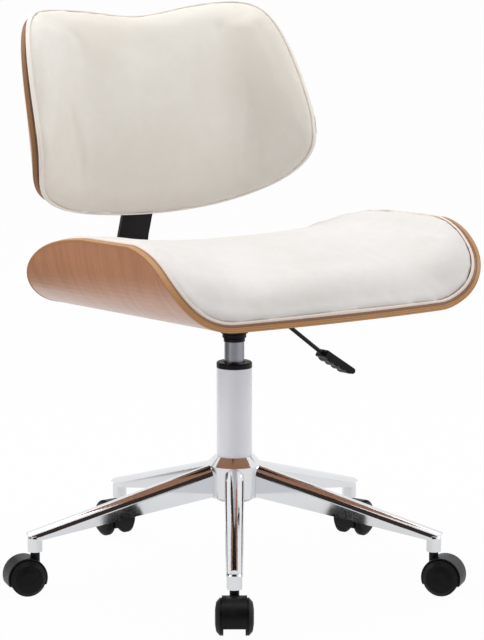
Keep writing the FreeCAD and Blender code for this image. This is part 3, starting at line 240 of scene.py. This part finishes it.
veneer, given, put = newGroup("veneer", [
    ("Vector", "Vector", None), ("Ply", "Float", None), ("Bare", "Float", 0.0),
    ("Pale", "Color", wood["pale"]), ("Deep", "Color", wood["deep"]),
    ("EdgePale", "Color", wood["edgePale"]), ("EdgeDeep", "Color", wood["edgeDeep"])],
    [("Color", "Color"), ("Roughness", "Float"), ("Height", "Float")])
flat = given.outputs["Vector"]
drift = stretchedNoise(veneer, flat, wood["ringScale"], 3, 0.5)
rings = maths(veneer, "PINGPONG", maths(veneer, "MULTIPLY", drift, wood["ringFolds"]), 1.0)
fibres = stretchedNoise(veneer, flat, wood["fibreScale"], 4, 0.6)
pores = stretchedNoise(veneer, flat, wood["poreScale"], 2, 0.5)
pores = spread(veneer, pores, wood["poreFrom"], wood["poreTo"], 0, 1)
share = maths(veneer, "MULTIPLY", fibres, wood["fibreShare"])
share = maths(veneer, "MULTIPLY_ADD", rings, wood["ringShare"], share)
face = mixColour(veneer, share, given.outputs["Pale"], given.outputs["Deep"])
face = mixColour(veneer, maths(veneer, "MULTIPLY", pores, wood["poreShare"]), face, wood["poreColour"])
split = addNode(veneer, "ShaderNodeSeparateXYZ")
veneer.links.new(flat, split.inputs[0])
level = maths(veneer, "DIVIDE", split.outputs["Z"], given.outputs["Ply"])
layer = maths(veneer, "MULTIPLY", level, wood["layers"])
odd = maths(veneer, "FRACT", maths(veneer, "MULTIPLY", layer, 0.5))
odd = maths(veneer, "FLOOR", maths(veneer, "MULTIPLY", odd, 2.0))
endGrain = stretchedNoise(veneer, flat, wood["endGrainScale"], 3, 0.6)
share = maths(veneer, "MULTIPLY", endGrain, wood["endGrainShare"])
share = maths(veneer, "MULTIPLY_ADD", odd, wood["oddShare"], share)
edge = mixColour(veneer, share, given.outputs["EdgePale"], given.outputs["EdgeDeep"])
glue = maths(veneer, "ABSOLUTE", maths(veneer, "SUBTRACT", maths(veneer, "FRACT", layer), 0.5))
glue = spread(veneer, glue, wood["glueFrom"], wood["glueTo"], 0, wood["glueShare"])
edge = mixColour(veneer, glue, edge, wood["glueColour"])
# painted shade: the upper plies of the bare edge darkened as if shadowed by the cover's border above them
upper = spread(veneer, level, wood["upperFrom"], wood["upperTo"], 0, wood["upperShadeShare"])
edge = mixColour(veneer, upper, edge, wood["upperShadeColour"])
inside = maths(veneer, "ABSOLUTE", maths(veneer, "SUBTRACT", level, 0.5))
inside = spread(veneer, inside, wood["edgeWithin"], wood["faceBeyond"], 1, 0)
inside = maths(veneer, "MAXIMUM", inside, given.outputs["Bare"])
veneer.links.new(mixColour(veneer, inside, face, edge), put.inputs["Color"])
rough = maths(veneer, "MULTIPLY_ADD", inside, wood["edgeRoughness"], wood["roughness"])
rough = maths(veneer, "MULTIPLY_ADD", fibres, wood["fibreRoughness"], rough)
veneer.links.new(rough, put.inputs["Roughness"])
relief = maths(veneer, "SUBTRACT", maths(veneer, "MULTIPLY", fibres, wood["fibreRelief"]), pores)
veneer.links.new(relief, put.inputs["Height"])


def makeVeneer(name, sheet, coat=0.75, **finish):
    material, tree, shader, place = newMaterial(name, **{
        "Coat Weight": coat, "Coat Roughness": wood["coatRoughness"], "Specular IOR Level": 0.5})
    turned = addNode(tree, "ShaderNodeMapping", {
        "Location": flattening(sheet).to_translation(), "Rotation": (math.radians(sheet["toFlat"]), 0, 0)})
    tree.links.new(place, turned.inputs["Vector"])
    flat = useGroup(tree, plySheet, vector=turned.outputs["Vector"], flatHalf=sheet["flatHalf"],
                    bendRadius=sheet["bendRadius"], wingTurn=sheet["wingTurn"])
    grain = useGroup(tree, veneer, vector=flat.outputs["Vector"], ply=sheet["ply"], **finish)
    tree.links.new(grain.outputs["Color"], shader.inputs["Base Color"])
    tree.links.new(grain.outputs["Roughness"], shader.inputs["Roughness"])
    bump(tree, shader, grain.outputs["Height"], wood["relief"], wood["reliefDepth"])
    return material


# handled surfaces: soft smears and a little dust, for metal, enamel and moulded parts
touch = {
    "detail": 5, "breakUp": 0.62, "smearFrom": 0.35, "smearTo": 0.72, "dustColour": tone(176, 172, 166),
    "coatRoughness": 0.08, "grainDepth": 0.0002,
}
handled, given, put = newGroup("handled", [
    ("Vector", "Vector", None), ("Size", "Float", None), ("Low", "Float", None), ("High", "Float", None)],
    [("Roughness", "Float"), ("Mask", "Float")])
smear = addNode(handled, "ShaderNodeTexNoise", {"Detail": touch["detail"], "Roughness": touch["breakUp"]})
handled.links.new(given.outputs["Vector"], smear.inputs["Vector"])
handled.links.new(given.outputs["Size"], smear.inputs["Scale"])
smear = spread(handled, smear.outputs["Fac"], touch["smearFrom"], touch["smearTo"], 0, 1)
rough = addNode(handled, "ShaderNodeMapRange")
handled.links.new(smear, rough.inputs["Value"])
handled.links.new(given.outputs["Low"], rough.inputs["To Min"])
handled.links.new(given.outputs["High"], rough.inputs["To Max"])
handled.links.new(rough.outputs["Result"], put.inputs["Roughness"])
handled.links.new(smear, put.inputs["Mask"])


def makeFinish(name, colour, low, high, size, metal=0.0, coat=0.0, grain=0.0, grainSize=1500, dust=0.0,
               specular=0.5):
    material, tree, shader, place = newMaterial(name, **{
        "Metallic": metal, "Coat Weight": coat, "Coat Roughness": touch["coatRoughness"],
        "Specular IOR Level": specular})
    wear = useGroup(tree, handled, vector=place, size=size, low=low, high=high)
    tree.links.new(wear.outputs["Roughness"], shader.inputs["Roughness"])
    dusty = maths(tree, "MULTIPLY", wear.outputs["Mask"], dust)
    tree.links.new(mixColour(tree, dusty, colour, touch["dustColour"]), shader.inputs["Base Color"])
    if grain:
        bump(tree, shader, noise(tree, place, grainSize, 2, 0.5), grain, touch["grainDepth"])
    return material


# coated cover: shallow pebbled grain with painted shade in the creases between the pebbles, and broad soft
# shading
hide = {
    "grainSize": 820.0, "pebbleReach": 0.35, "fineSize": 2400, "fineShare": 0.25,
    "broadSize": 9, "patchSize": 60, "patchShare": 0.4, "shadeFrom": 0.5, "shadeTo": 0.9,
    "creaseReach": 0.08, "creaseShadeShare": 0.10, "creaseShadeColour": tone(176, 168, 154),
    "roughness": 0.40, "patchRoughness": 0.16, "sheen": 0.06, "specular": 0.42,
    "relief": 0.22, "reliefDepth": 0.0003,
}
coatedHide, given, put = newGroup("coatedHide", [
    ("Vector", "Vector", None), ("Base", "Color", None), ("Worn", "Color", None)],
    [("Color", "Color"), ("Roughness", "Float"), ("Height", "Float")])
cells = addNode(coatedHide, "ShaderNodeTexVoronoi", {"Scale": hide["grainSize"]}, feature="DISTANCE_TO_EDGE")
coatedHide.links.new(given.outputs["Vector"], cells.inputs["Vector"])
pebbles = spread(coatedHide, cells.outputs["Distance"], 0, hide["pebbleReach"], 0, 1)
fine = noise(coatedHide, given.outputs["Vector"], hide["fineSize"], 2, 0.5)
broad = noise(coatedHide, given.outputs["Vector"], hide["broadSize"], 3, 0.5)
patches = noise(coatedHide, given.outputs["Vector"], hide["patchSize"], 4, 0.6)
shade = maths(coatedHide, "MULTIPLY_ADD", patches, hide["patchShare"], broad)
shade = spread(coatedHide, shade, hide["shadeFrom"], hide["shadeTo"], 0, 1)
colour = mixColour(coatedHide, shade, given.outputs["Base"], given.outputs["Worn"])
# painted shade: the cover darkened a little in the creases between the pebbles
creaseShade = spread(coatedHide, cells.outputs["Distance"], 0, hide["creaseReach"], hide["creaseShadeShare"], 0)
colour = mixColour(coatedHide, creaseShade, colour, hide["creaseShadeColour"])
coatedHide.links.new(colour, put.inputs["Color"])
rough = maths(coatedHide, "MULTIPLY_ADD", patches, hide["patchRoughness"], hide["roughness"])
coatedHide.links.new(rough, put.inputs["Roughness"])
relief = maths(coatedHide, "MULTIPLY_ADD", fine, hide["fineShare"], pebbles)
coatedHide.links.new(relief, put.inputs["Height"])


def makeCover(name, base, worn):
    material, tree, shader, place = newMaterial(name, **{
        "Sheen Weight": hide["sheen"], "Sheen Roughness": 0.5, "Specular IOR Level": hide["specular"]})
    skin = useGroup(tree, coatedHide, vector=place, base=base, worn=worn)
    tree.links.new(skin.outputs["Color"], shader.inputs["Base Color"])
    tree.links.new(skin.outputs["Roughness"], shader.inputs["Roughness"])
    bump(tree, shader, skin.outputs["Height"], hide["relief"], hide["reliefDepth"])
    return material


finishes = {
    "chrome": makeFinish("chromePlate", tone(226, 228, 231), 0.05, 0.13, 22, metal=1.0, dust=0.05),
    "column_white": makeFinish("lightEnamel", tone(240, 244, 252), 0.12, 0.20, 18, coat=0.6, dust=0.03),
    "steel": makeFinish("groundSteel", tone(150, 153, 160), 0.24, 0.36, 60, metal=1.0, grain=0.05,
                        dust=0.05),
    "black_steel": makeFinish("blackPowderCoat", tone(20, 18, 20), 0.40, 0.54, 55, grain=0.3, dust=0.01,
                              specular=0.22),
    "black_nylon": makeFinish("blackNylon", tone(12, 11, 13), 0.34, 0.48, 48, grain=0.18, grainSize=2200,
                              dust=0.01, specular=0.18),
    "wheel_nylon": makeFinish("wheelNylon", tone(9, 8, 10), 0.40, 0.56, 70, grain=0.25, grainSize=1700,
                              dust=0.01, specular=0.16),
    "bush_plastic": makeFinish("whiteAcetal", tone(226, 224, 214), 0.34, 0.46, 60, grain=0.08, dust=0.08),
}
# painted shade: darker copies of the bare-edge wood colours for the backrest, whose edge lies in the shade
# of the cover's border
backEdgeShadedTones = {"edgePale": tone(166, 120, 78), "edgeDeep": tone(122, 84, 52)}
shellVeneers = {
    "seat_shell": makeVeneer("seatVeneer", seatSheet),
    "back_shell": makeVeneer("backVeneer", backSheet, **backEdgeShadedTones),
}
seatEdgeWood = makeVeneer("seatEdgeWood", seatSheet, coat=0.2, bare=1.0)
backEdgeWood = makeVeneer("backEdgeWood", backSheet, coat=0.2, bare=1.0, **backEdgeShadedTones)
padCover = makeCover("padCover", tone(229, 226, 224), tone(222, 218, 214))
# painted light: the backrest's cover is a warmer copy of the seat's for the warm bounce light on it
backWarmLitCover = makeCover("backWarmLitCover", tone(233, 228, 220), tone(227, 221, 211))
# painted light: the rolled borders are lighter copies of the covers for the highlight their beads catch, and
# the seat's is pinker for a painted reflection of the wood edge below it
seatBorderLitCover = makeCover("seatBorderLitCover", tone(241, 230, 222), tone(233, 221, 211))
backBorderLitCover = makeCover("backBorderLitCover", tone(243, 238, 230), tone(238, 231, 221))
slotOf = {part["node"]: part["material_slot"] for part in frame["record"]["subparts"]}
for name, node in frame["nodes"].items():
    node.data.materials.clear()
    node.data.materials.append(shellVeneers.get(name) or finishes.get(slotOf[name], padCover))
print("materials made")


# mesh helpers
def newObject(name, mesh, material, body):
    thing = bpy.data.objects.new(name, mesh)
    bpy.context.scene.collection.objects.link(thing)
    mesh.materials.append(material)
    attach(thing, body)
    return thing


def mergedCopy(node):
    shape = bmesh.new()
    shape.from_mesh(frame["nodes"][node].data)
    bmesh.ops.remove_doubles(shape, verts=shape.verts, dist=0.00001)
    bmesh.ops.recalc_face_normals(shape, faces=shape.faces)
    return shape


def meshOf(name, shape):
    mesh = bpy.data.meshes.new(name)
    shape.to_mesh(mesh)
    shape.free()
    return mesh


def smoothMeshOf(name, shape):
    for face in shape.faces:
        face.smooth = True
    return meshOf(name, shape)


def applied(thing):
    graph = bpy.context.evaluated_depsgraph_get()
    return bpy.data.meshes.new_from_object(thing.evaluated_get(graph))


# pads: the solid's shape a little smaller, filled by cloth pressure up to about its own size
airFill = {"pressure": 4.0, "quality": 5, "mass": 0.3, "frames": 20, "furthest": 0.004}


def freeShare(height, held, reach):  # 0 up to the height where the cover is held, 1 from this reach above it
    return min(max((height - held) / reach, 0), 1)


def tuckedShape(node, sheet, held, values):
    shape = mergedCopy(node)
    for vertex in shape.verts:
        height, normal = sheetPlace(sheet, vertex.co)
        share = freeShare(height, held, values["fade"])
        inward = vertex.normal - normal * vertex.normal.dot(normal)
        vertex.co -= inward * values["tuck"] * (1 - share) ** 2 + vertex.normal * values["slack"] * share
    return shape


def meshEvenly(work, size):
    remesh = work.modifiers.new("voxels", "REMESH")
    remesh.mode = "VOXEL"
    remesh.voxel_size = size
    even = applied(work)
    work.modifiers.clear()
    work.data = even


def fillWithAir(work, sheet, held, fade):
    start = [vertex.co.copy() for vertex in work.data.vertices]
    pins = work.vertex_groups.new(name="held")
    for i, point in enumerate(start):
        weight = 1 - freeShare(sheetPlace(sheet, point)[0], held, fade)
        if weight > 0:
            pins.add([i], weight, "REPLACE")
    cloth = work.modifiers.new("cover", "CLOTH")
    cloth.settings.quality = airFill["quality"]
    cloth.settings.mass = airFill["mass"]
    cloth.settings.use_pressure = True
    cloth.settings.uniform_pressure_force = airFill["pressure"]
    cloth.settings.effector_weights.gravity = 0
    cloth.settings.vertex_group_mass = "held"
    cloth.point_cache.frame_start = 1
    cloth.point_cache.frame_end = airFill["frames"]
    for step in range(1, airFill["frames"] + 1):
        bpy.context.scene.frame_set(step)
    filled = applied(work)
    work.modifiers.clear()
    bpy.context.scene.frame_set(1)
    for vertex, before in zip(filled.vertices, start):
        move = vertex.co - before
        if move.length > airFill["furthest"]:
            vertex.co = before + move * (airFill["furthest"] / move.length)
    work.data = filled


# slight gathers where the cover is sewn down, broad unevenness above
def gatherCover(shape, sheet, held, values):
    for vertex in shape.verts:
        height = sheetPlace(sheet, vertex.co)[0]
        share = freeShare(height, held, values["gatherReach"])
        if height > held * values["gatherFrom"]:
            gather = noiseAt.noise(vertex.co * values["gatherSize"]) * values["gather"]
            uneven = noiseAt.noise(vertex.co * values["unevenSize"]) * values["uneven"]
            vertex.co += vertex.normal * (gather * (1 - share) * share * 4 + uneven * share)


def makePad(name, node, sheet, cover, values):
    held = values["seam"] + sheet["ply"]
    tucked = meshOf(name + "Work", tuckedShape(node, sheet, held, values))
    work = bpy.data.objects.new(name + "Work", tucked)
    bpy.context.scene.collection.objects.link(work)
    meshEvenly(work, values["voxel"])
    fillWithAir(work, sheet, held, values["fade"])
    shape = bmesh.new()
    shape.from_mesh(work.data)
    bpy.data.objects.remove(work)
    for _ in range(values["smoothing"]):
        bmesh.ops.smooth_vert(shape, verts=shape.verts, factor=0.5,
                              use_axis_x=True, use_axis_y=True, use_axis_z=True)
    shape.normal_update()
    gatherCover(shape, sheet, held, values)
    mesh = smoothMeshOf(name, shape)
    pad = newObject(name, mesh, cover, "seat")
    finer = pad.modifiers.new("finer", "SUBSURF")
    finer.levels = 1
    finer.render_levels = 1
    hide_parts(node)
    print(name, len(mesh.vertices), "points")


seatPad = {
    "voxel": 0.0049, "seam": 0.0050, "tuck": 0.0030, "slack": 0.0020, "fade": 0.010, "smoothing": 5,
    "fill": 0.7, "gather": 0.0004, "gatherSize": 90, "gatherReach": 0.022, "gatherFrom": 0.8,
    "uneven": 0.0007, "unevenSize": 14,
}
backPad = {
    "voxel": 0.0042, "seam": 0.0062, "tuck": 0.0020, "slack": 0.0016, "fade": 0.010, "smoothing": 6,
    "fill": 0.7, "gather": 0.0003, "gatherSize": 90, "gatherReach": 0.022, "gatherFrom": 0.8,
    "uneven": 0.0005, "unevenSize": 12,
}
makePad("seatPad", "seat_cushion", seatSheet, padCover, seatPad)
makePad("backPad", "back_cushion", backSheet, backWarmLitCover, backPad)
print("pads made")


# outline of a bent part's lower face: its edges, and at each point the ways up its wall and out of it
def outlineOf(shape, sheet, values):
    heights = {vertex: sheetPlace(sheet, vertex.co)[0] for vertex in shape.verts}
    foot = min(heights.values()) + values["footReach"]
    under = {face for face in shape.faces if all(heights[vertex] < foot for vertex in face.verts)}
    left = {edge: True for edge in shape.edges if sum(face in under for face in edge.link_faces) == 1}
    rings = []
    while left:
        ring = [left.popitem()[0]]
        for edge in ring:
            for other in [other for vertex in edge.verts for other in vertex.link_edges]:
                if left.pop(other, False):
                    ring.append(other)
        rings.append(ring)
    rim = max(rings, key=len)
    ups = {}
    outs = {}
    for vertex in dict.fromkeys(vertex for edge in rim for vertex in edge.verts):
        normal = sheetPlace(sheet, vertex.co)[1]
        ways = [edge.other_vert(vertex).co - vertex.co for edge in vertex.link_edges]
        ways = [way for way in ways if foot < way.dot(normal) + heights[vertex] < foot + values["wallReach"]]
        ups[vertex] = max(ways, key=lambda way: way.normalized().dot(normal), default=normal).normalized()
        walls = [face.normal for face in vertex.link_faces if face not in under]
        outs[vertex] = sum(walls, Vector()).normalized()
    return rim, ups, outs


# a strip's first ring, on the outline itself: its edges and each point's place in the outline
def firstRing(rim, ups):
    strip = bmesh.new()
    start = {vertex: strip.verts.new(vertex.co) for vertex in ups}
    edges = [strip.edges.new([start[vertex] for vertex in edge.verts]) for edge in rim]
    return strip, edges, {made: vertex for vertex, made in start.items()}


# one more ring of a strip, from its last one, with the same two results
def nextRing(strip, edges, ring, place):
    made = bmesh.ops.extrude_edge_only(strip, edges=edges)["geom"]
    newRing = {}
    for point in [item for item in made if isinstance(item, bmesh.types.BMVert)]:
        before = [edge.other_vert(point) for edge in point.link_edges if edge.other_vert(point) in ring][0]
        newRing[point] = ring[before]
        point.co = place(ring[before])
    newEdges = [item for item in made if isinstance(item, bmesh.types.BMEdge)]
    return [edge for edge in newEdges if all(point in newRing for point in edge.verts)], newRing


# rolled border: a strip that rises from the edge of the pad's foot, given a thickness and rounded
def makeBorder(name, node, sheet, cover, height):
    shape = mergedCopy(node)
    rim, ups, outs = outlineOf(shape, sheet, border)
    strip, edges, ring = firstRing(rim, ups)
    nextRing(strip, edges, ring, lambda vertex: vertex.co + ups[vertex] * height)
    bmesh.ops.recalc_face_normals(strip, faces=strip.faces)
    strip.normal_update()
    if sum(face.normal.dot(outs[vertex]) for made, vertex in ring.items() for face in made.link_faces) < 0:
        bmesh.ops.reverse_faces(strip, faces=strip.faces)
    shape.free()
    bmesh.ops.remove_doubles(strip, verts=strip.verts, dist=border["mergeWithin"])
    mesh = smoothMeshOf(name, strip)
    roll = newObject(name, mesh, cover, "seat")
    thick = roll.modifiers.new("thick", "SOLIDIFY")
    thick.thickness = border["thickness"]
    thick.offset = -1
    thick.use_even_offset = False
    rounded = roll.modifiers.new("rounded", "BEVEL")
    rounded.width = border["round"]
    rounded.segments = 4
    rounded.limit_method = "ANGLE"
    rounded.angle_limit = math.radians(50)
    print(name, len(mesh.polygons), "faces")


border = {
    "seatHeight": 0.0050, "backHeight": 0.0062, "thickness": 0.0028, "round": 0.0012, "footReach": 0.0004,
    "wallReach": 0.012, "mergeWithin": 0.0004,
}
makeBorder("seatBorder", "seat_cushion", seatSheet, seatBorderLitCover, border["seatHeight"])
makeBorder("backBorder", "back_cushion", backSheet, backBorderLitCover, border["backHeight"])


# rounded bare edge of a bent shell, which laps a little over the face veneer; the profile's upper points
# rise with the ply
def makeEdgeBand(name, node, sheet, bareWood):
    shape = mergedCopy(node)
    rim, ups, outs = outlineOf(shape, sheet, edgeBand)
    strip, edges, ring = firstRing(rim, ups)
    rise = sheet["ply"] / edgeBand["profilePly"]
    profile = [(out, up * rise if up > edgeBand["fixedUpTo"] else up) for out, up in edgeBand["profile"]]
    for made, vertex in ring.items():
        made.co = vertex.co + outs[vertex] * profile[0][0] + ups[vertex] * profile[0][1]
    firstEdges = edges
    for out, up in profile[1:]:
        edges, ring = nextRing(
            strip, edges, ring, lambda vertex: vertex.co + outs[vertex] * out + ups[vertex] * up)
    bmesh.ops.bridge_loops(strip, edges=firstEdges + edges)
    shape.free()
    bmesh.ops.recalc_face_normals(strip, faces=strip.faces)
    mesh = smoothMeshOf(name, strip)
    band = newObject(name, mesh, bareWood, "seat")
    print(name, len(mesh.polygons), "faces")


edgeBand = {
    "footReach": 0.0004, "wallReach": 0.014, "profilePly": 0.0075, "fixedUpTo": 0.0015,
    "profile": [
        (-0.0034, 0.0003), (-0.0032, -0.0003), (-0.0026, -0.0004), (-0.0010, -0.0004), (-0.0005, -0.0003),
        (0, 0), (0.0003, 0.0005), (0.0004, 0.0011), (0.0005, 0.0045), (0.0004, 0.0062), (0, 0.0070),
        (-0.0008, 0.0071)],
}
makeEdgeBand("seatEdgeBand", "seat_shell", seatSheet, seatEdgeWood)
makeEdgeBand("backEdgeBand", "back_shell", backSheet, backEdgeWood)
print("borders and edge bands made")


# studio: white surround for the camera and for reflections, a floor that keeps the shadow, soft lamps, and
# two dark glowing sheets that only reflections see, painting the studio's shade into reflections
studio = {
    "surround": 0.60,
    "floor": {"radius": 40, "colour": tone(222, 222, 222), "roughness": 0.9, "specular": 0.1, "glow": 0.97,
              "sheen": 0.6},
    "shadeDrapes": {
        "behindCamera": {"toward": (-0.527, -0.850, 0), "distance": 2.6, "aside": 0, "width": 4.4,
                         "low": 0.02, "high": 3.4, "fade": 0.02, "colour": tone(58, 48, 44)},
        "backLeft": {"toward": (-0.53, 0.848, 0), "distance": 0.55, "aside": 0.36, "width": 0.9,
                     "low": 0.0, "high": 0.56, "fade": 0.26, "colour": tone(112, 98, 88)},
    },
    "lamps": {
        "overhead": {"place": (-0.1, 0.35, 2.7), "aim": (0, 0, 0.5), "size": 2.4, "power": 30},
        "leftRear": {"place": (-2.7, 1.3, 1.9), "aim": (0, 0, 0.5), "size": 1.8, "power": 28},
        "right": {"place": (2.8, -1.5, 1.8), "aim": (0, 0, 0.5), "size": 1.8, "power": 25},
    },
}
world = bpy.data.worlds.new("studio")
bpy.context.scene.world = world
world.use_nodes = True
tree = world.node_tree
tree.nodes.clear()
path = addNode(tree, "ShaderNodeLightPath")
seen = maths(tree, "MAXIMUM", path.outputs["Is Camera Ray"], path.outputs["Is Glossy Ray"])
seen = maths(tree, "MAXIMUM", seen, path.outputs["Is Transmission Ray"])
surround = addNode(tree, "ShaderNodeBackground", {"Color": (1, 1, 1, 1)})
tree.links.new(spread(tree, seen, 0, 1, studio["surround"], 1.0), surround.inputs["Strength"])
tree.links.new(surround.outputs["Background"], addNode(tree, "ShaderNodeOutputWorld").inputs["Surface"])


def stagePiece(name, shape, material):
    mesh = meshOf(name, shape)
    mesh.materials.append(material)
    thing = bpy.data.objects.new(name, mesh)
    bpy.context.scene.collection.objects.link(thing)
    return thing


def layFloor(values):
    paint, tree, surface = emptyMaterial("floorPaint")
    matt = addNode(tree, "ShaderNodeBsdfPrincipled", {
        "Base Color": values["colour"], "Roughness": values["roughness"],
        "Specular IOR Level": values["specular"]})
    white = addNode(tree, "ShaderNodeEmission", {"Color": (1, 1, 1, 1), "Strength": 1.0})
    path = addNode(tree, "ShaderNodeLightPath")
    glowing = maths(tree, "MULTIPLY", path.outputs["Is Glossy Ray"], values["sheen"])
    glowing = maths(tree, "MULTIPLY_ADD", path.outputs["Is Camera Ray"], values["glow"], glowing)
    tree.links.new(mixShader(tree, glowing, matt.outputs["BSDF"], white.outputs["Emission"]), surface)
    shape = bmesh.new()
    bmesh.ops.create_circle(shape, cap_ends=True, segments=64, radius=values["radius"])
    stagePiece("floor", shape, paint)


# painted reflection: the sheet's dark glow, faded in at its low edge and out at its high edge
def shadeDrapeGlow(name, values):
    material, tree, surface = emptyMaterial(name)
    dark = addNode(tree, "ShaderNodeEmission", {"Color": values["colour"], "Strength": 1.0})
    clear = addNode(tree, "ShaderNodeBsdfTransparent")
    place = addNode(tree, "ShaderNodeSeparateXYZ")
    tree.links.new(addNode(tree, "ShaderNodeTexCoord").outputs["Object"], place.inputs[0])
    fromLow = spread(tree, place.outputs["Z"], values["low"], values["low"] + values["fade"], 0, 1)
    fromHigh = spread(tree, place.outputs["Z"], values["high"], values["high"] - values["fade"] / 2, 0, 1)
    shown = maths(tree, "MULTIPLY", fromLow, fromHigh)
    tree.links.new(mixShader(tree, shown, clear.outputs["BSDF"], dark.outputs["Emission"]), surface)
    return material


def hangShadeDrape(name, values):
    shape = bmesh.new()
    bmesh.ops.create_grid(shape, x_segments=1, y_segments=1, size=0.5)
    toward = Vector(values["toward"]).normalized()
    facing = Matrix((toward.cross(Vector((0, 0, -1))), Vector((0, 0, 1)), toward)).transposed().to_4x4()
    middle = (values["aside"], (values["high"] + values["low"]) / 2, values["distance"])
    bmesh.ops.scale(shape, verts=shape.verts, vec=(values["width"], values["high"] - values["low"], 1))
    bmesh.ops.translate(shape, verts=shape.verts, vec=middle)
    bmesh.ops.transform(shape, matrix=facing, verts=shape.verts)
    shadeDrape = stagePiece(name, shape, shadeDrapeGlow(name, values))
    shadeDrape.visible_camera = False
    shadeDrape.visible_diffuse = False
    shadeDrape.visible_shadow = False
    shadeDrape.visible_transmission = False


def hangLamp(name, values):
    lamp = bpy.data.lights.new(name, "AREA")
    lamp.shape = "DISK"
    lamp.size = values["size"]
    lamp.energy = values["power"]
    thing = bpy.data.objects.new(name, lamp)
    aim = Vector(values["aim"]) - Vector(values["place"])
    thing.location = values["place"]
    thing.rotation_euler = aim.to_track_quat("-Z", "Y").to_euler()
    bpy.context.scene.collection.objects.link(thing)


layFloor(studio["floor"])
for name, values in studio["shadeDrapes"].items():
    hangShadeDrape(name, values)
for name, values in studio["lamps"].items():
    hangLamp(name, values)
print("studio lit")
